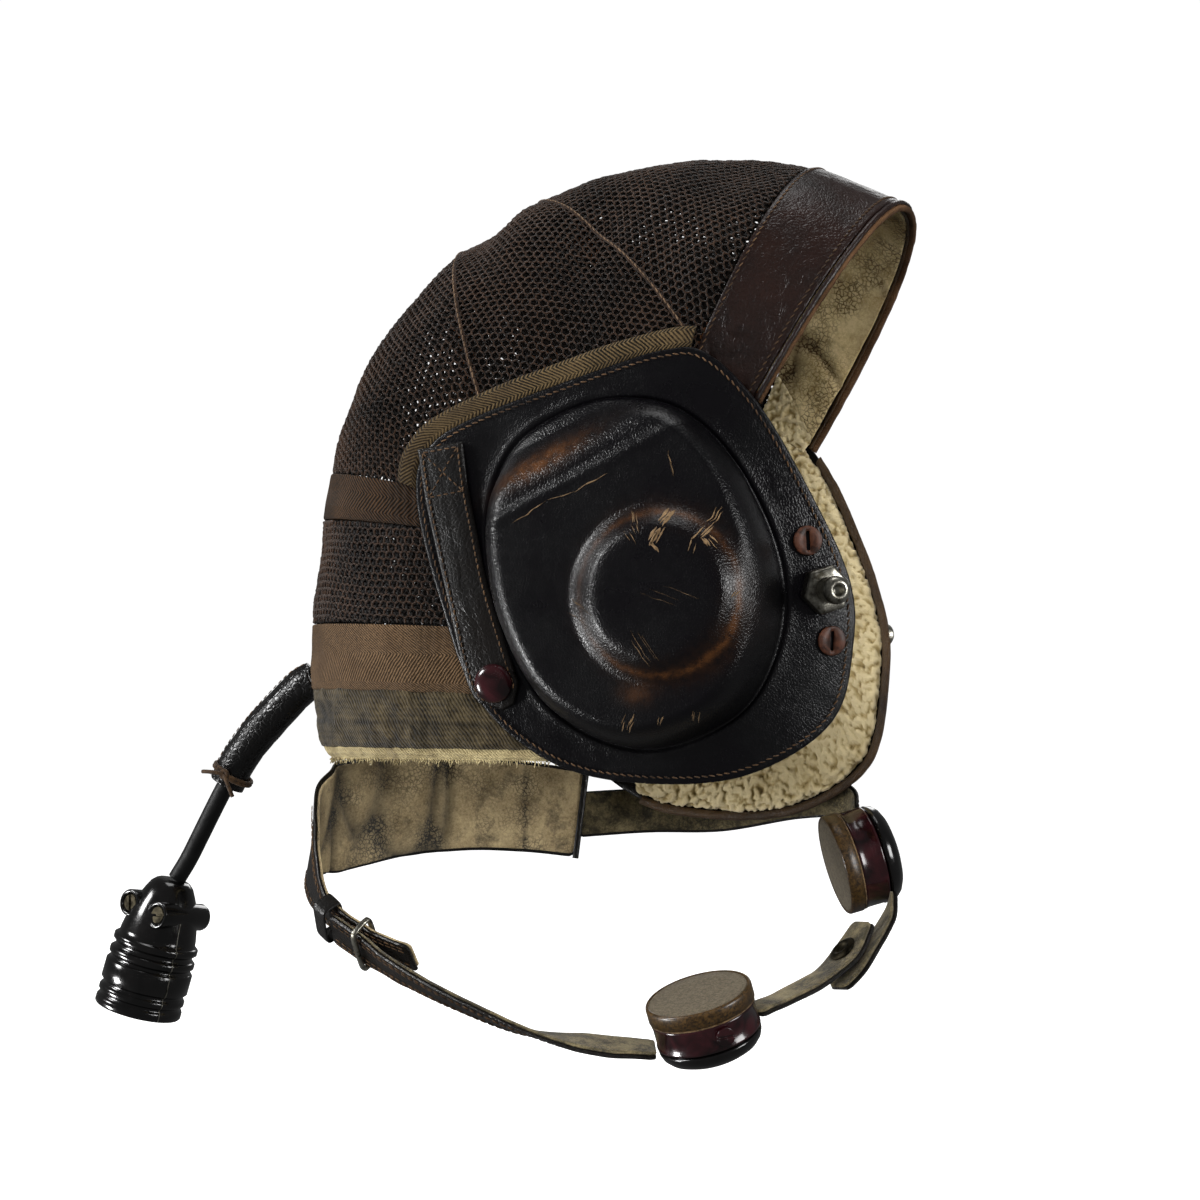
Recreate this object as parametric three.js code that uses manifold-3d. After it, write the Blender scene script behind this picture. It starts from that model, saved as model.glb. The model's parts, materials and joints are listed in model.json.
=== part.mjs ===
// Flying helmet with a netted crown, moulded ear panels, a throat loop with two microphones and a short lead.
// Millimetres, +Z up, +X to the wearer's front, +Y to the left; the origin is inside the crown's apex.

import * as THREE from "three";
import { mergeVertices } from "three/addons/utils/BufferGeometryUtils.js";
import Module from "manifold-3d";

const wasm = await Module();
wasm.setup();

// Driving dimensions
const gap = 0.4;
const netThickness = 1.6;
const tapeThickness = 1.4;
const browThickness = 1.8;
const browInside = -0.6;
const liningThickness = 1.4;
const bindingWidth = 3.6;
const panelThickness = 2.2;
const panelLift = 3.6;
const pileThickness = 6.5;
const pileLift = -1.3;
const strapThickness = 2.4;
const micRadius = 19.2;
const sleeveRadius = 7.2;
const sleeveBore = 4.6;
const cableRadius = 3.6;
const plugRadius = 17.4;
const plugLength = 54;
const capsuleRadius = 29;
const capsuleRise = 8;
const domeFace = 97.5;
const domeWall = 9;
const tuckUnder = 5;
const headCentre = new THREE.Vector3(-45, 0, -110);

// The hood is a row of ribs from the brow rim back to the nape. Each rib is half an oval from its side point,
// over its top point in the middle plane, to the other side.
const ribs = [
  { place: "brow rim", topX: 65.6, topZ: -19.2, sideX: 21.4, sideZ: -94.7, half: 69.8, square: 0.05 },
  { place: "brow seam", topX: 34, topZ: -4.9, sideX: 0, sideZ: -80.1, half: 74.4, square: 0.05 },
  { place: "apex", topX: 0.3, topZ: 0.8, sideX: -20, sideZ: -83.1, half: 76.5, square: 0.05 },
  { place: "crown", topX: -33.4, topZ: -0.4, sideX: -42, sideZ: -91.1, half: 77, square: 0.05 },
  { place: "front seam top", topX: -66.4, topZ: -10.1, sideX: -63, sideZ: -98.6, half: 77, square: 0.05 },
  { place: "crown rear", topX: -87.5, topZ: -21.2, sideX: -72, sideZ: -101, half: 77, square: 0.05 },
  { place: "rear seam", topX: -107.3, topZ: -35.2, sideX: -80, sideZ: -103.6, half: 77, square: 0.05 },
  { place: "back of the head", topX: -133.1, topZ: -66.1, sideX: -91, sideZ: -109.6, half: 77, square: 0.05 },
  { place: "above the tape", topX: -146.1, topZ: -93.8, sideX: -98, sideZ: -116.1, half: 77, square: 0.05 },
  { place: "tape top", topX: -152.8, topZ: -116.4, sideX: -101, sideZ: -127.1, half: 76.8, square: 0.04 },
  { place: "tape foot", topX: -156.9, topZ: -134.1, sideX: -99.5, sideZ: -142.1, half: 76, square: 0.04 },
  { place: "tape 2 top", topX: -163.1, topZ: -173.6, sideX: -92.5, sideZ: -177.1, half: 73.3, square: 0.03 },
  { place: "tape 2 foot", topX: -163.9, topZ: -197.9, sideX: -85.5, sideZ: -201.1, half: 70.4, square: 0.02 },
  { place: "cloth bottom", topX: -161.4, topZ: -219.7, sideX: -73.5, sideZ: -220.6, half: 67.5, square: 0 },
  { place: "edge strip foot", topX: -158.3, topZ: -224.4, sideX: -68, sideZ: -225.1, half: 66.8, square: 0 },
];
const rimRib = 0;
const browSeamRib = 1;
const upperTapeRib = 9;
const napeNetRib = 10;
const lowerTapeRib = 11;
const clothRib = 12;
const edgeStripRib = 13;
const lastRib = 14;

// Soft hollows and folds of the net and the brow, by rib and turn. The turn runs from -1 at the right to 1.
const dents = [
  { place: "hollow behind the brow seam", rib: 1.7, turn: -0.42, ribSpread: 0.5, turnSpread: 0.16, depth: 4 },
  { place: "fold over the ear", rib: 3.1, turn: -0.62, ribSpread: 0.35, turnSpread: 0.2, depth: 3 },
  { place: "slack above the rear seam", rib: 5, turn: -0.35, ribSpread: 0.5, turnSpread: 0.22, depth: 2.5 },
  { place: "slack at the back", rib: 7.6, turn: 0.1, ribSpread: 0.8, turnSpread: 0.3, depth: 2 },
  { place: "left hollow", rib: 3, turn: 0.5, ribSpread: 0.8, turnSpread: 0.2, depth: 3 },
];

// Cross seams of the net, each backed by a narrow band inside.
const seams = [
  { name: "seam_band_front", topRib: 4.4, sideRib: 1.1 },
  { name: "seam_band_rear", topRib: 5.7, sideRib: 5.6 },
];
const seamBandWidth = 10;
const seamBend = 1.7; // how late a seam turns from its top rib to its side rib

// The ear panel's outline in the XZ plane, round from its top front corner.
const panelOutline = [
  { place: "top front", x: 3, z: -83.1 },
  { place: "front corner", x: 19, z: -98.1 },
  { place: "cheek top", x: 34, z: -123.1 },
  { place: "cheek", x: 49.7, z: -158.5 },
  { place: "cheek front", x: 51.6, z: -182.8 },
  { place: "chin corner", x: 43.5, z: -212.1 },
  { place: "bottom front", x: 13, z: -230.7 },
  { place: "bottom", x: -27, z: -232.6 },
  { place: "bottom rear", x: -56, z: -224.7 },
  { place: "rear corner", x: -79.9, z: -203.6 },
  { place: "rear", x: -93, z: -168.1 },
  { place: "rear top", x: -101.2, z: -132.5 },
  { place: "top rear corner", x: -97.5, z: -115.1 },
  { place: "top rear", x: -80, z: -103.7 },
  { place: "top middle", x: -36, z: -88.9 },
  { place: "top", x: -11, z: -82.1 },
];

// Where the dome over the earphone meets the flat of the panel.
const domeFoot = [
  { place: "rear of the crease", x: -74, z: -142.1 },
  { place: "crescent rear", x: -66, z: -117.1 },
  { place: "crescent top", x: -48, z: -104.1 },
  { place: "top", x: -27, z: -99.1 },
  { place: "top front", x: -4, z: -104.6 },
  { place: "front shoulder", x: 15, z: -125.1 },
  { place: "front", x: 27.5, z: -156.1 },
  { place: "front lower", x: 26.5, z: -184.1 },
  { place: "bottom front", x: 12, z: -209.1 },
  { place: "bottom", x: -20, z: -220.6 },
  { place: "bottom rear", x: -51, z: -207.6 },
  { place: "rear", x: -69, z: -177.1 },
];
const domeCentre = { x: -23, z: -160.1 };
const capsuleCentre = { x: -8.7, z: -168.4 };
const creaseEnd = { x: -65, z: -139.7 };
const creaseNormal = { x: -0.446, z: 0.895 };
const crescentWidth = 25;
const crescentFall = 17;
const creaseStep = 1.2;

// The left panel hangs lower than the right one; the reach is how far the lining goes past the panel's edge.
const sides = [
  { name: "right", sign: -1, hang: 0, reach: -6 },
  { name: "left", sign: 1, hang: 16, reach: -3 },
];
const hangTop = -106;
const hangDepth = 110;

// Throat loop: stations on each strap's middle line, its width, and the way that its inner face looks.
const collarRows = [
  { place: "left end", x: -76.6, y: 62, z: -249.6, width: 34, faceX: 0.05, faceY: -1, faceZ: 0.04 },
  { place: "left", x: -98, y: 57, z: -247.6, width: 33, faceX: 0.42, faceY: -0.9, faceZ: 0 },
  { place: "left rear", x: -123, y: 45.5, z: -245.6, width: 35, faceX: 0.66, faceY: -0.75, faceZ: -0.05 },
  { place: "rear left", x: -146, y: 27, z: -246.9, width: 39, faceX: 0.86, faceY: -0.5, faceZ: -0.1 },
  { place: "rear", x: -158.5, y: 8, z: -249.1, width: 43, faceX: 0.98, faceY: -0.1, faceZ: -0.1 },
  { place: "rear right", x: -163.5, y: -9, z: -254.1, width: 39, faceX: 0.9, faceY: 0.4, faceZ: 0.08 },
  { place: "narrowing", x: -161.5, y: -21, z: -264.6, width: 28, faceX: 0.62, faceY: 0.72, faceZ: 0.3 },
  { place: "collar neck", x: -156, y: -29.5, z: -275.1, width: 21, faceX: 0.48, faceY: 0.74, faceZ: 0.46 },
  { place: "keeper", x: -147.5, y: -35, z: -283.6, width: 17, faceX: 0.45, faceY: 0.66, faceZ: 0.6 },
  { place: "buckle", x: -131.5, y: -40, z: -292.1, width: 17, faceX: 0.27, faceY: 0.66, faceZ: 0.7 },
  { place: "tail end", x: -112.5, y: -45, z: -297.6, width: 17, faceX: 0.2, faceY: 0.6, faceZ: 0.77 },
];
const rightRearRows = [
  { place: "in the keeper", x: -146.5, y: -38.4, z: -287.7, width: 17, faceX: 0.4, faceY: 0.66, faceZ: 0.63 },
  { place: "buckle", x: -131.2, y: -43, z: -295.9, width: 17, faceX: 0.27, faceY: 0.66, faceZ: 0.7 },
  { place: "below the tail", x: -117, y: -48.6, z: -302.7, width: 17, faceX: 0.27, faceY: 0.55, faceZ: 0.79 },
  { place: "slope", x: -95, y: -53, z: -311.8, width: 17, faceX: 0.27, faceY: 0.42, faceZ: 0.87 },
  { place: "low", x: -69.5, y: -52, z: -321.5, width: 17, faceX: 0.2, faceY: 0.25, faceZ: 0.95 },
  { place: "lowest", x: -45, y: -49, z: -326.1, width: 17, faceX: 0.05, faceY: -0.2, faceZ: 0.98 },
];
const rightFrontRows = [
  { place: "crossing", x: 20, y: -10, z: -312.1, width: 16, faceX: -0.5, faceY: -0.45, faceZ: 0.74 },
  { place: "before the snap", x: 32, y: 0, z: -305.6, width: 17, faceX: -0.66, faceY: -0.5, faceZ: 0.56 },
  { place: "snap", x: 40, y: 8, z: -297.6, width: 19, faceX: -0.72, faceY: -0.6, faceZ: 0.36 },
  { place: "tab end", x: 46, y: 14, z: -286.6, width: 14, faceX: -0.76, faceY: -0.6, faceZ: 0.2 },
];
const leftFrontRows = [
  { place: "past the mic", x: 51.8, y: 23.5, z: -289.1, width: 17, faceX: -0.82, faceY: -0.52, faceZ: 0.2 },
  { place: "outside the snap", x: 44, y: 10.4, z: -300.7, width: 18, faceX: -0.72, faceY: -0.6, faceZ: 0.36 },
  { place: "end", x: 37.5, y: 3.5, z: -310.1, width: 13, faceX: -0.66, faceY: -0.5, faceZ: 0.56 },
];
const leftRearRows = [
  { place: "at the collar", x: -79.5, y: 67, z: -250.6, width: 17, faceX: 0.02, faceY: -1, faceZ: 0.15 },
  { place: "behind the flap", x: -50, y: 73, z: -248.1, width: 17, faceX: 0, faceY: -0.97, faceZ: 0.2 },
  { place: "under the ear", x: -20, y: 76.5, z: -247.6, width: 16, faceX: -0.15, faceY: -0.97, faceZ: 0.1 },
  { place: "cheek", x: 12, y: 72.2, z: -242.1, width: 16, faceX: -0.4, faceY: -0.9, faceZ: 0 },
  { place: "chin", x: 32.5, y: 64, z: -242.5, width: 15, faceX: -0.65, faceY: -0.75, faceZ: -0.1 },
];

const microphones = {
  right: { x: -3.6, y: -38, z: -323.2, axisX: -0.2, axisY: -0.3, axisZ: 0.933, turn: 0.5 },
  left: { x: 47.2, y: 39.5, z: -262.1, axisX: -0.907, axisY: -0.325, axisZ: -0.268, turn: 2.2 },
};

// Station where a strap that comes from the given row meets a microphone's rim.
function micStation(mic, from, width) {
  const axis = new THREE.Vector3(mic.axisX, mic.axisY, mic.axisZ).normalize();
  const toward = new THREE.Vector3(from.x - mic.x, from.y - mic.y, from.z - mic.z);
  toward.addScaledVector(axis, -toward.dot(axis)).setLength(micRadius + 2 * gap);
  const spot = { x: mic.x + toward.x, y: mic.y + toward.y, z: mic.z + toward.z };
  return { ...spot, width, faceX: axis.x, faceY: axis.y, faceZ: axis.z };
}

rightRearRows.push(micStation(microphones.right, rightRearRows.at(-1), 16));
rightFrontRows.unshift(micStation(microphones.right, rightFrontRows[0], 16));
leftFrontRows.unshift(micStation(microphones.left, leftFrontRows[0], 16));
leftRearRows.push(micStation(microphones.left, leftRearRows.at(-1), 16));

// Lead: points on the middle line of the sleeve and of the cable that runs out of it to the plug.
const leadY = 4;
const sleeveRoute = [
  { x: -170.4, z: -194.1 },
  { x: -176, z: -197.1 },
  { x: -184.5, z: -205.1 },
  { x: -193.5, z: -214.6 },
  { x: -201.5, z: -225.1 },
  { x: -207.5, z: -235.6 },
];
const cableRoute = [
  { x: -194.8, z: -216.7 },
  { x: -202, z: -226.1 },
  { x: -208.2, z: -236.1 },
  { x: -213.6, z: -246.1 },
  { x: -218.8, z: -256.1 },
  { x: -223.8, z: -265.6 },
  { x: -228.8, z: -273.5 },
];
const plugTop = { x: -230.2, z: -274.1 };
const plugAxis = { x: -0.279, z: -0.96 };

const materials = {
  net: new THREE.MeshStandardMaterial({ color: 0x2e231d, roughness: 0.85, metalness: 0 }),
  tapeDark: new THREE.MeshStandardMaterial({ color: 0x3b2c22, roughness: 0.85, metalness: 0 }),
  tapeBrown: new THREE.MeshStandardMaterial({ color: 0x6e5138, roughness: 0.85, metalness: 0 }),
  tapeOlive: new THREE.MeshStandardMaterial({ color: 0x5d4f36, roughness: 0.85, metalness: 0 }),
  cloth: new THREE.MeshStandardMaterial({ color: 0x4a4335, roughness: 0.9, metalness: 0 }),
  cream: new THREE.MeshStandardMaterial({ color: 0xa8986b, roughness: 0.9, metalness: 0 }),
  browLeather: new THREE.MeshStandardMaterial({ color: 0x2c1c1a, roughness: 0.4, metalness: 0 }),
  blackLeather: new THREE.MeshStandardMaterial({ color: 0x17171b, roughness: 0.35, metalness: 0 }),
  brownLeather: new THREE.MeshStandardMaterial({ color: 0x4a3826, roughness: 0.5, metalness: 0 }),
  suede: new THREE.MeshStandardMaterial({ color: 0x8a7a58, roughness: 0.95, metalness: 0 }),
  fleece: new THREE.MeshStandardMaterial({ color: 0xb5a57c, roughness: 1, metalness: 0 }),
  maroonPlastic: new THREE.MeshStandardMaterial({ color: 0x2a1014, roughness: 0.25, metalness: 0 }),
  goldPlastic: new THREE.MeshStandardMaterial({ color: 0x6b5126, roughness: 0.4, metalness: 0 }),
  blackPlastic: new THREE.MeshStandardMaterial({ color: 0x0c0b0b, roughness: 0.15, metalness: 0 }),
  steel: new THREE.MeshStandardMaterial({ color: 0xb5b3a5, roughness: 0.35, metalness: 1 }),
  washer: new THREE.MeshStandardMaterial({ color: 0x6a4030, roughness: 0.5, metalness: 0 }),
  rubber: new THREE.MeshStandardMaterial({ color: 0x1b1b1b, roughness: 0.5, metalness: 0 }),
};

const helmet = new THREE.Group();

function add(name, geometry, material) {
  const mesh = new THREE.Mesh(geometry, material);
  mesh.name = name;
  helmet.add(mesh);
}

// Value of one column of a table at a place between its rows, on a smooth curve through them.
function column(rows, key, place, closed = false) {
  const count = rows.length;
  const clamped = closed ? place : Math.min(Math.max(place, 0), count - 1);
  const start = Math.min(Math.floor(clamped), closed ? Infinity : count - 2);
  const t = clamped - start;
  const value = (i) =>
    closed ? rows[((i % count) + count) % count][key] : rows[Math.min(Math.max(i, 0), count - 1)][key];
  const a = closed || start > 0 ? value(start - 1) : 2 * value(0) - value(1);
  const b = value(start);
  const c = value(start + 1);
  const d = closed || start + 2 < count ? value(start + 2) : 2 * value(count - 1) - value(count - 2);
  return 0.5 * (2 * b + (c - a) * t + (2 * a - 5 * b + 4 * c - d) * t * t + (3 * b - a - 3 * c + d) * t ** 3);
}

function bell(distance) {
  return Math.exp(-distance * distance);
}

// Point on the hood's middle surface. The turn runs from -1 at the right side to 1 at the left one, and past
// either end the rib goes straight on, under the ear panel.
function hoodPoint(rib, turn) {
  const side = { x: column(ribs, "sideX", rib), z: column(ribs, "sideZ", rib) };
  const top = { x: column(ribs, "topX", rib), z: column(ribs, "topZ", rib) };
  const half = column(ribs, "half", rib);
  const angle = (Math.min(Math.max(turn, -1), 1) * Math.PI) / 2;
  const swell = 1 + column(ribs, "square", rib) * Math.sin(2 * angle) ** 2;
  const sunk = dents.reduce(
    (sum, d) => sum + d.depth * bell((rib - d.rib) / d.ribSpread) * bell((turn - d.turn) / d.turnSpread),
    0,
  );
  const shrink = 1 - sunk / half;
  const rise = Math.cos(angle) * swell * shrink;
  const past = Math.max(Math.abs(turn) - 1, 0) * (Math.PI / 2);
  return new THREE.Vector3(
    side.x + (top.x - side.x) * (rise - past),
    half * Math.sin(angle) * swell * shrink,
    side.z + (top.z - side.z) * (rise - past),
  );
}

// Turn past the side at which a rib has gone the given distance under the ear panel.
function turnUnder(rib, distance) {
  const reach = Math.hypot(
    column(ribs, "topX", rib) - column(ribs, "sideX", rib),
    column(ribs, "topZ", rib) - column(ribs, "sideZ", rib),
  );
  return 1 + distance / (reach * (Math.PI / 2));
}

// Closed solid from vertices and triangles, turned so that its faces point out.
function solid(vertices, triangles) {
  const geometry = new THREE.BufferGeometry();
  let volume = 0;
  for (const [a, b, c] of triangles) {
    volume += vertices[a].dot(new THREE.Vector3().crossVectors(vertices[b], vertices[c]));
  }
  const index = triangles.flatMap(([a, b, c]) => (volume < 0 ? [a, c, b] : [a, b, c]));
  const places = vertices.flatMap((v) => v.toArray());
  geometry.setAttribute("position", new THREE.Float32BufferAttribute(places, 3));
  geometry.setIndex(index);
  return geometry;
}

// Unit normal of a surface given as a function of two numbers.
function normalAt(surface, u, v) {
  const step = 1e-3;
  const alongU = surface(u + step, v).sub(surface(u - step, v));
  const alongV = surface(u, v + step).sub(surface(u, v - step));
  return alongU.cross(alongV).normalize();
}

// Sheet between two offsets of a surface over a grid of places. With a hole share, a diamond is cut through
// each cell.
function sheet(surface, us, vs, low, high, holeShare = 0) {
  const vertices = [];
  const triangles = [];
  const place = (u, v, offset) => {
    const point = surface(u, v).addScaledVector(normalAt(surface, u, v), offset);
    return vertices.push(point) - 1;
  };
  const layer = (offset) => us.map((u) => vs.map((v) => place(u, v, offset)));
  const bottom = layer(low);
  const top = layer(high);
  const quad = (a, b, c, d) => triangles.push([a, b, c], [a, c, d]);
  const lastU = us.length - 1;
  const lastV = vs.length - 1;
  const ring = (grid, i, j) => [grid[i][j], grid[i + 1][j], grid[i + 1][j + 1], grid[i][j + 1]];
  for (let i = 0; i < lastU; i++) {
    for (let j = 0; j < lastV; j++) {
      const upper = ring(top, i, j);
      const lower = ring(bottom, i, j);
      if (!holeShare) {
        quad(...upper);
        quad(lower[0], lower[3], lower[2], lower[1]);
        continue;
      }
      const middleU = (us[i] + us[i + 1]) / 2;
      const middleV = (vs[j] + vs[j + 1]) / 2;
      const reachU = ((us[i + 1] - us[i]) / 2) * holeShare;
      const reachV = ((vs[j + 1] - vs[j]) / 2) * holeShare;
      const diamond = (offset) => [
        place(middleU, middleV - reachV, offset),
        place(middleU + reachU, middleV, offset),
        place(middleU, middleV + reachV, offset),
        place(middleU - reachU, middleV, offset),
      ];
      const upperHole = diamond(high);
      const lowerHole = diamond(low);
      for (let k = 0; k < 4; k++) {
        const next = (k + 1) % 4;
        triangles.push([upper[k], upper[next], upperHole[k]], [upper[next], upperHole[next], upperHole[k]]);
        triangles.push([lower[next], lower[k], lowerHole[k]], [lower[next], lowerHole[k], lowerHole[next]]);
        quad(upperHole[k], upperHole[next], lowerHole[next], lowerHole[k]);
      }
    }
  }
  for (let i = 0; i < lastU; i++) {
    quad(bottom[i][0], bottom[i + 1][0], top[i + 1][0], top[i][0]);
    quad(bottom[i + 1][lastV], bottom[i][lastV], top[i][lastV], top[i + 1][lastV]);
  }
  for (let j = 0; j < lastV; j++) {
    quad(bottom[0][j + 1], bottom[0][j], top[0][j], top[0][j + 1]);
    quad(bottom[lastU][j], bottom[lastU][j + 1], top[lastU][j + 1], top[lastU][j]);
  }
  return solid(vertices, triangles);
}

function steps(from, to, count) {
  return Array.from({ length: count + 1 }, (_, i) => from + ((to - from) * i) / count);
}

// Share of the way from one rib to the next that the small gap between two pieces takes up at the top.
function ribGap(rib) {
  const step = 0.05;
  const span = hoodPoint(rib + step, 0).distanceTo(hoodPoint(rib - step, 0)) / (2 * step);
  return gap / 2 / Math.max(span, 4);
}

// Offsets from a surface, counted outwards from the head, in the order of the surface's own normal.
function outward(surface, u, v, low, high) {
  const away = normalAt(surface, u, v).dot(surface(u, v).sub(headCentre)) > 0 ? 1 : -1;
  return [low * away, high * away].sort((a, b) => a - b);
}

// Piece of the hood between two ribs, side to side, that ends tucked under the ear panels.
function hoodPiece(firstRib, endRib, rows, columns, low, high, holeShare = 0) {
  const surface = (rib, across) => hoodPoint(rib, across * turnUnder(rib, tuckUnder));
  const ribPlaces = steps(firstRib + ribGap(firstRib), endRib - ribGap(endRib), rows);
  const offsets = outward(surface, (firstRib + endRib) / 2, 0, low, high);
  return sheet(surface, ribPlaces, steps(-1, 1, columns), ...offsets, holeShare);
}

function addHood() {
  const half = netThickness / 2;
  add("net_crown", hoodPiece(browSeamRib, upperTapeRib, 7, 11, -half, half, 0.78), materials.net);
  add("net_nape", hoodPiece(napeNetRib, lowerTapeRib, 2, 10, -half, half, 0.74), materials.net);
  const tape = (from, to) => hoodPiece(from, to, 1, 16, -tapeThickness / 2, tapeThickness / 2);
  add("nape_tape_upper", tape(upperTapeRib, napeNetRib), materials.tapeDark);
  add("nape_tape_lower", tape(lowerTapeRib, clothRib), materials.tapeBrown);
  add("nape_cloth", tape(clothRib, edgeStripRib), materials.cloth);
  add("nape_edge_strip", tape(edgeStripRib, lastRib), materials.cream);
  const brow = (low, high) => hoodPiece(rimRib, browSeamRib, 2, 16, low, high);
  add("brow_band", brow(browInside, browInside + browThickness), materials.browLeather);
  add("brow_lining", brow(browInside - gap - liningThickness, browInside - gap), materials.suede);
}

// Rim binding: a strip in front of the edges of the brow band and its lining.
function addBrowBinding() {
  const surface = (along, across) => {
    const turn = across * turnUnder(rimRib, tuckUnder * 0.6);
    const rim = hoodPoint(rimRib, turn);
    const ahead = rim.clone().sub(hoodPoint(rimRib + 0.25, turn)).normalize();
    return rim.addScaledVector(ahead, along);
  };
  const low = browInside - gap - liningThickness - 0.6;
  const high = browInside + browThickness + 0.6;
  const offsets = outward(surface, bindingWidth / 2, 0, low, high);
  const geometry = sheet(surface, [gap / 2, bindingWidth], steps(-1, 1, 20), ...offsets);
  add("brow_binding", geometry, materials.brownLeather);
}

// Narrow bands inside the net, which follow its cross seams from side to side.
function addSeamBands() {
  for (const seam of seams) {
    const surface = (along, across) => {
      const rib = seamRib(seam, across);
      const step = 0.2;
      const span = hoodPoint(rib + step, across).distanceTo(hoodPoint(rib - step, across)) / (2 * step);
      return hoodPoint(rib + along / Math.max(span, 6), across);
    };
    const outside = -netThickness / 2 - 1.8;
    const offsets = outward(surface, 0, 0, outside - 1, outside);
    const half = seamBandWidth / 2;
    add(seam.name, sheet(surface, [-half, half], steps(-0.95, 0.95, 14), ...offsets), materials.tapeBrown);
  }
}

// A seam leaves its top rib slowly and reaches its side rib at the ear panel.
function seamRib(seam, across) {
  const share = Math.min(Math.abs(across), 1) ** seamBend;
  return seam.topRib + (seam.sideRib - seam.topRib) * share;
}

// Distance of the head's side from the middle plane: it curves in towards the cheek and the jaw.
function sideDepth(x, z) {
  return 77 - 2.64e-5 * Math.max(0, x + 43) ** 3 - 7e-4 * Math.max(0, -104 - z) ** 2;
}

// Radius of a closed outline round a centre, for an angle.
function outlineRadius(rows, centre) {
  const dense = 360;
  const samples = [];
  for (let i = 0; i < dense; i++) {
    const place = (i / dense) * rows.length;
    const dx = column(rows, "x", place, true) - centre.x;
    const dz = column(rows, "z", place, true) - centre.z;
    samples.push({ angle: Math.atan2(dz, dx), radius: Math.hypot(dx, dz) });
  }
  samples.sort((a, b) => a.angle - b.angle);
  return (angle) => {
    const wrapped = Math.atan2(Math.sin(angle), Math.cos(angle));
    const after = samples.findIndex((s) => s.angle > wrapped);
    const high = samples[after < 0 ? 0 : after];
    const low = samples[(after < 0 ? samples.length : after || samples.length) - 1];
    const turn = 2 * Math.PI;
    const span = (high.angle - low.angle + turn) % turn;
    const share = span ? ((wrapped - low.angle + turn) % turn) / span : 0;
    return low.radius + (high.radius - low.radius) * share;
  };
}

const panelRadius = outlineRadius(panelOutline, domeCentre);
const footRadius = outlineRadius(domeFoot, capsuleCentre);

// How far the ear panel's outside is from the middle plane: the flat of the panel, and the dome over it with
// a lower crescent behind the straight crease and a round bump for the earphone.
function panelDepth(x, z) {
  const flat = sideDepth(x, z) + panelLift;
  const [dx, dz] = [x - capsuleCentre.x, z - capsuleCentre.z];
  const inside = footRadius(Math.atan2(dz, dx)) - Math.hypot(dx, dz);
  if (inside <= 0) return flat;
  const climb = Math.min(inside / domeWall, 1);
  const wall = Math.sqrt(1 - (1 - climb) ** 2);
  const pastCrease = (x - creaseEnd.x) * creaseNormal.x + (z - creaseEnd.z) * creaseNormal.z;
  const fall = crescentFall * Math.min(Math.max(pastCrease, 0) / crescentWidth, 1) ** 1.4;
  const crescent = pastCrease > 0 ? creaseStep + fall : 0;
  const fromCapsule = Math.hypot(dx, dz) / capsuleRadius;
  const bump = capsuleRise * (1 - THREE.MathUtils.smoothstep(fromCapsule, 0.8, 1.12));
  return flat + Math.max(domeFace - crescent + bump - flat, 4) * wall;
}

// Height on a panel, with the left one hung lower towards its bottom.
function hung(side, z) {
  const drop = THREE.MathUtils.smoothstep(hangTop - z, 0, hangDepth);
  return z - side.hang * drop;
}

// Spot on the ear panel's grid for a ray and a ring. The rays run from the earphone's middle to evenly turned
// spots on the panel's edge. From outside in, the rings follow that edge, the dome's foot, its crease and the
// earphone.
function panelSpot(turn, ring) {
  const reach = panelRadius(turn);
  const edgeX = domeCentre.x + reach * Math.cos(turn) - capsuleCentre.x;
  const edgeZ = domeCentre.z + reach * Math.sin(turn) - capsuleCentre.z;
  const edge = Math.hypot(edgeX, edgeZ);
  const foot = footRadius(Math.atan2(edgeZ, edgeX));
  const past = (radius) =>
    (capsuleCentre.x + (edgeX / edge) * radius - creaseEnd.x) * creaseNormal.x +
    (capsuleCentre.z + (edgeZ / edge) * radius - creaseEnd.z) * creaseNormal.z;
  const outer = foot - domeWall;
  const inner = capsuleRadius * 1.14;
  const crossing = past(inner) / (past(inner) - past(outer));
  const beside = 0.5 + 0.4 * Math.max(0, 1 + past(outer) / domeWall);
  const atCrease = past(outer) > 0 ? THREE.MathUtils.clamp(crossing, 0.3, 0.9) : beside;
  const between = ring.between < 0 ? atCrease : atCrease + (1 - atCrease) * ring.between;
  const radii = {
    panel: foot + 0.4 + (edge - foot - 0.4) * ring.panel,
    wall: foot - domeWall * ring.wall,
    between: inner + (outer - inner) * between,
    capsule: capsuleRadius * ring.capsule,
  };
  const radius = radii[Object.keys(ring)[0]];
  return { x: capsuleCentre.x + (edgeX / edge) * radius, z: capsuleCentre.z + (edgeZ / edge) * radius };
}

const panelRings = [
  { panel: 1 },
  { panel: 0.45 },
  { panel: 0 },
  { wall: 0.08 },
  { wall: 0.4 },
  { wall: 1 },
  { between: 0.5 },
  { between: -1 },
  { capsule: 1.14 },
  { capsule: 0.96 },
  { capsule: 0.76 },
];

// Ear panel: rings of vertices from its edge in to its middle, and the same rings a thickness inside.
function earPanel(side) {
  const around = 28;
  const angles = steps(0, 2 * Math.PI, around).slice(0, around);
  const grid = panelRings.map((ring) => angles.map((angle) => panelSpot(angle, ring)));
  const inwards = ({ x, z }) => {
    const step = 0.8;
    const slopeX = (panelDepth(x + step, z) - panelDepth(x - step, z)) / (2 * step);
    const slopeZ = (panelDepth(x, z + step) - panelDepth(x, z - step)) / (2 * step);
    return new THREE.Vector3(slopeX, -side.sign, slopeZ).normalize();
  };
  const place = (spot, depth) => {
    const point = new THREE.Vector3(spot.x, side.sign * panelDepth(spot.x, spot.z), spot.z);
    point.addScaledVector(inwards(spot), depth);
    return point.setZ(hung(side, point.z));
  };
  return ringShell(grid, capsuleCentre, place, panelThickness);
}

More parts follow.
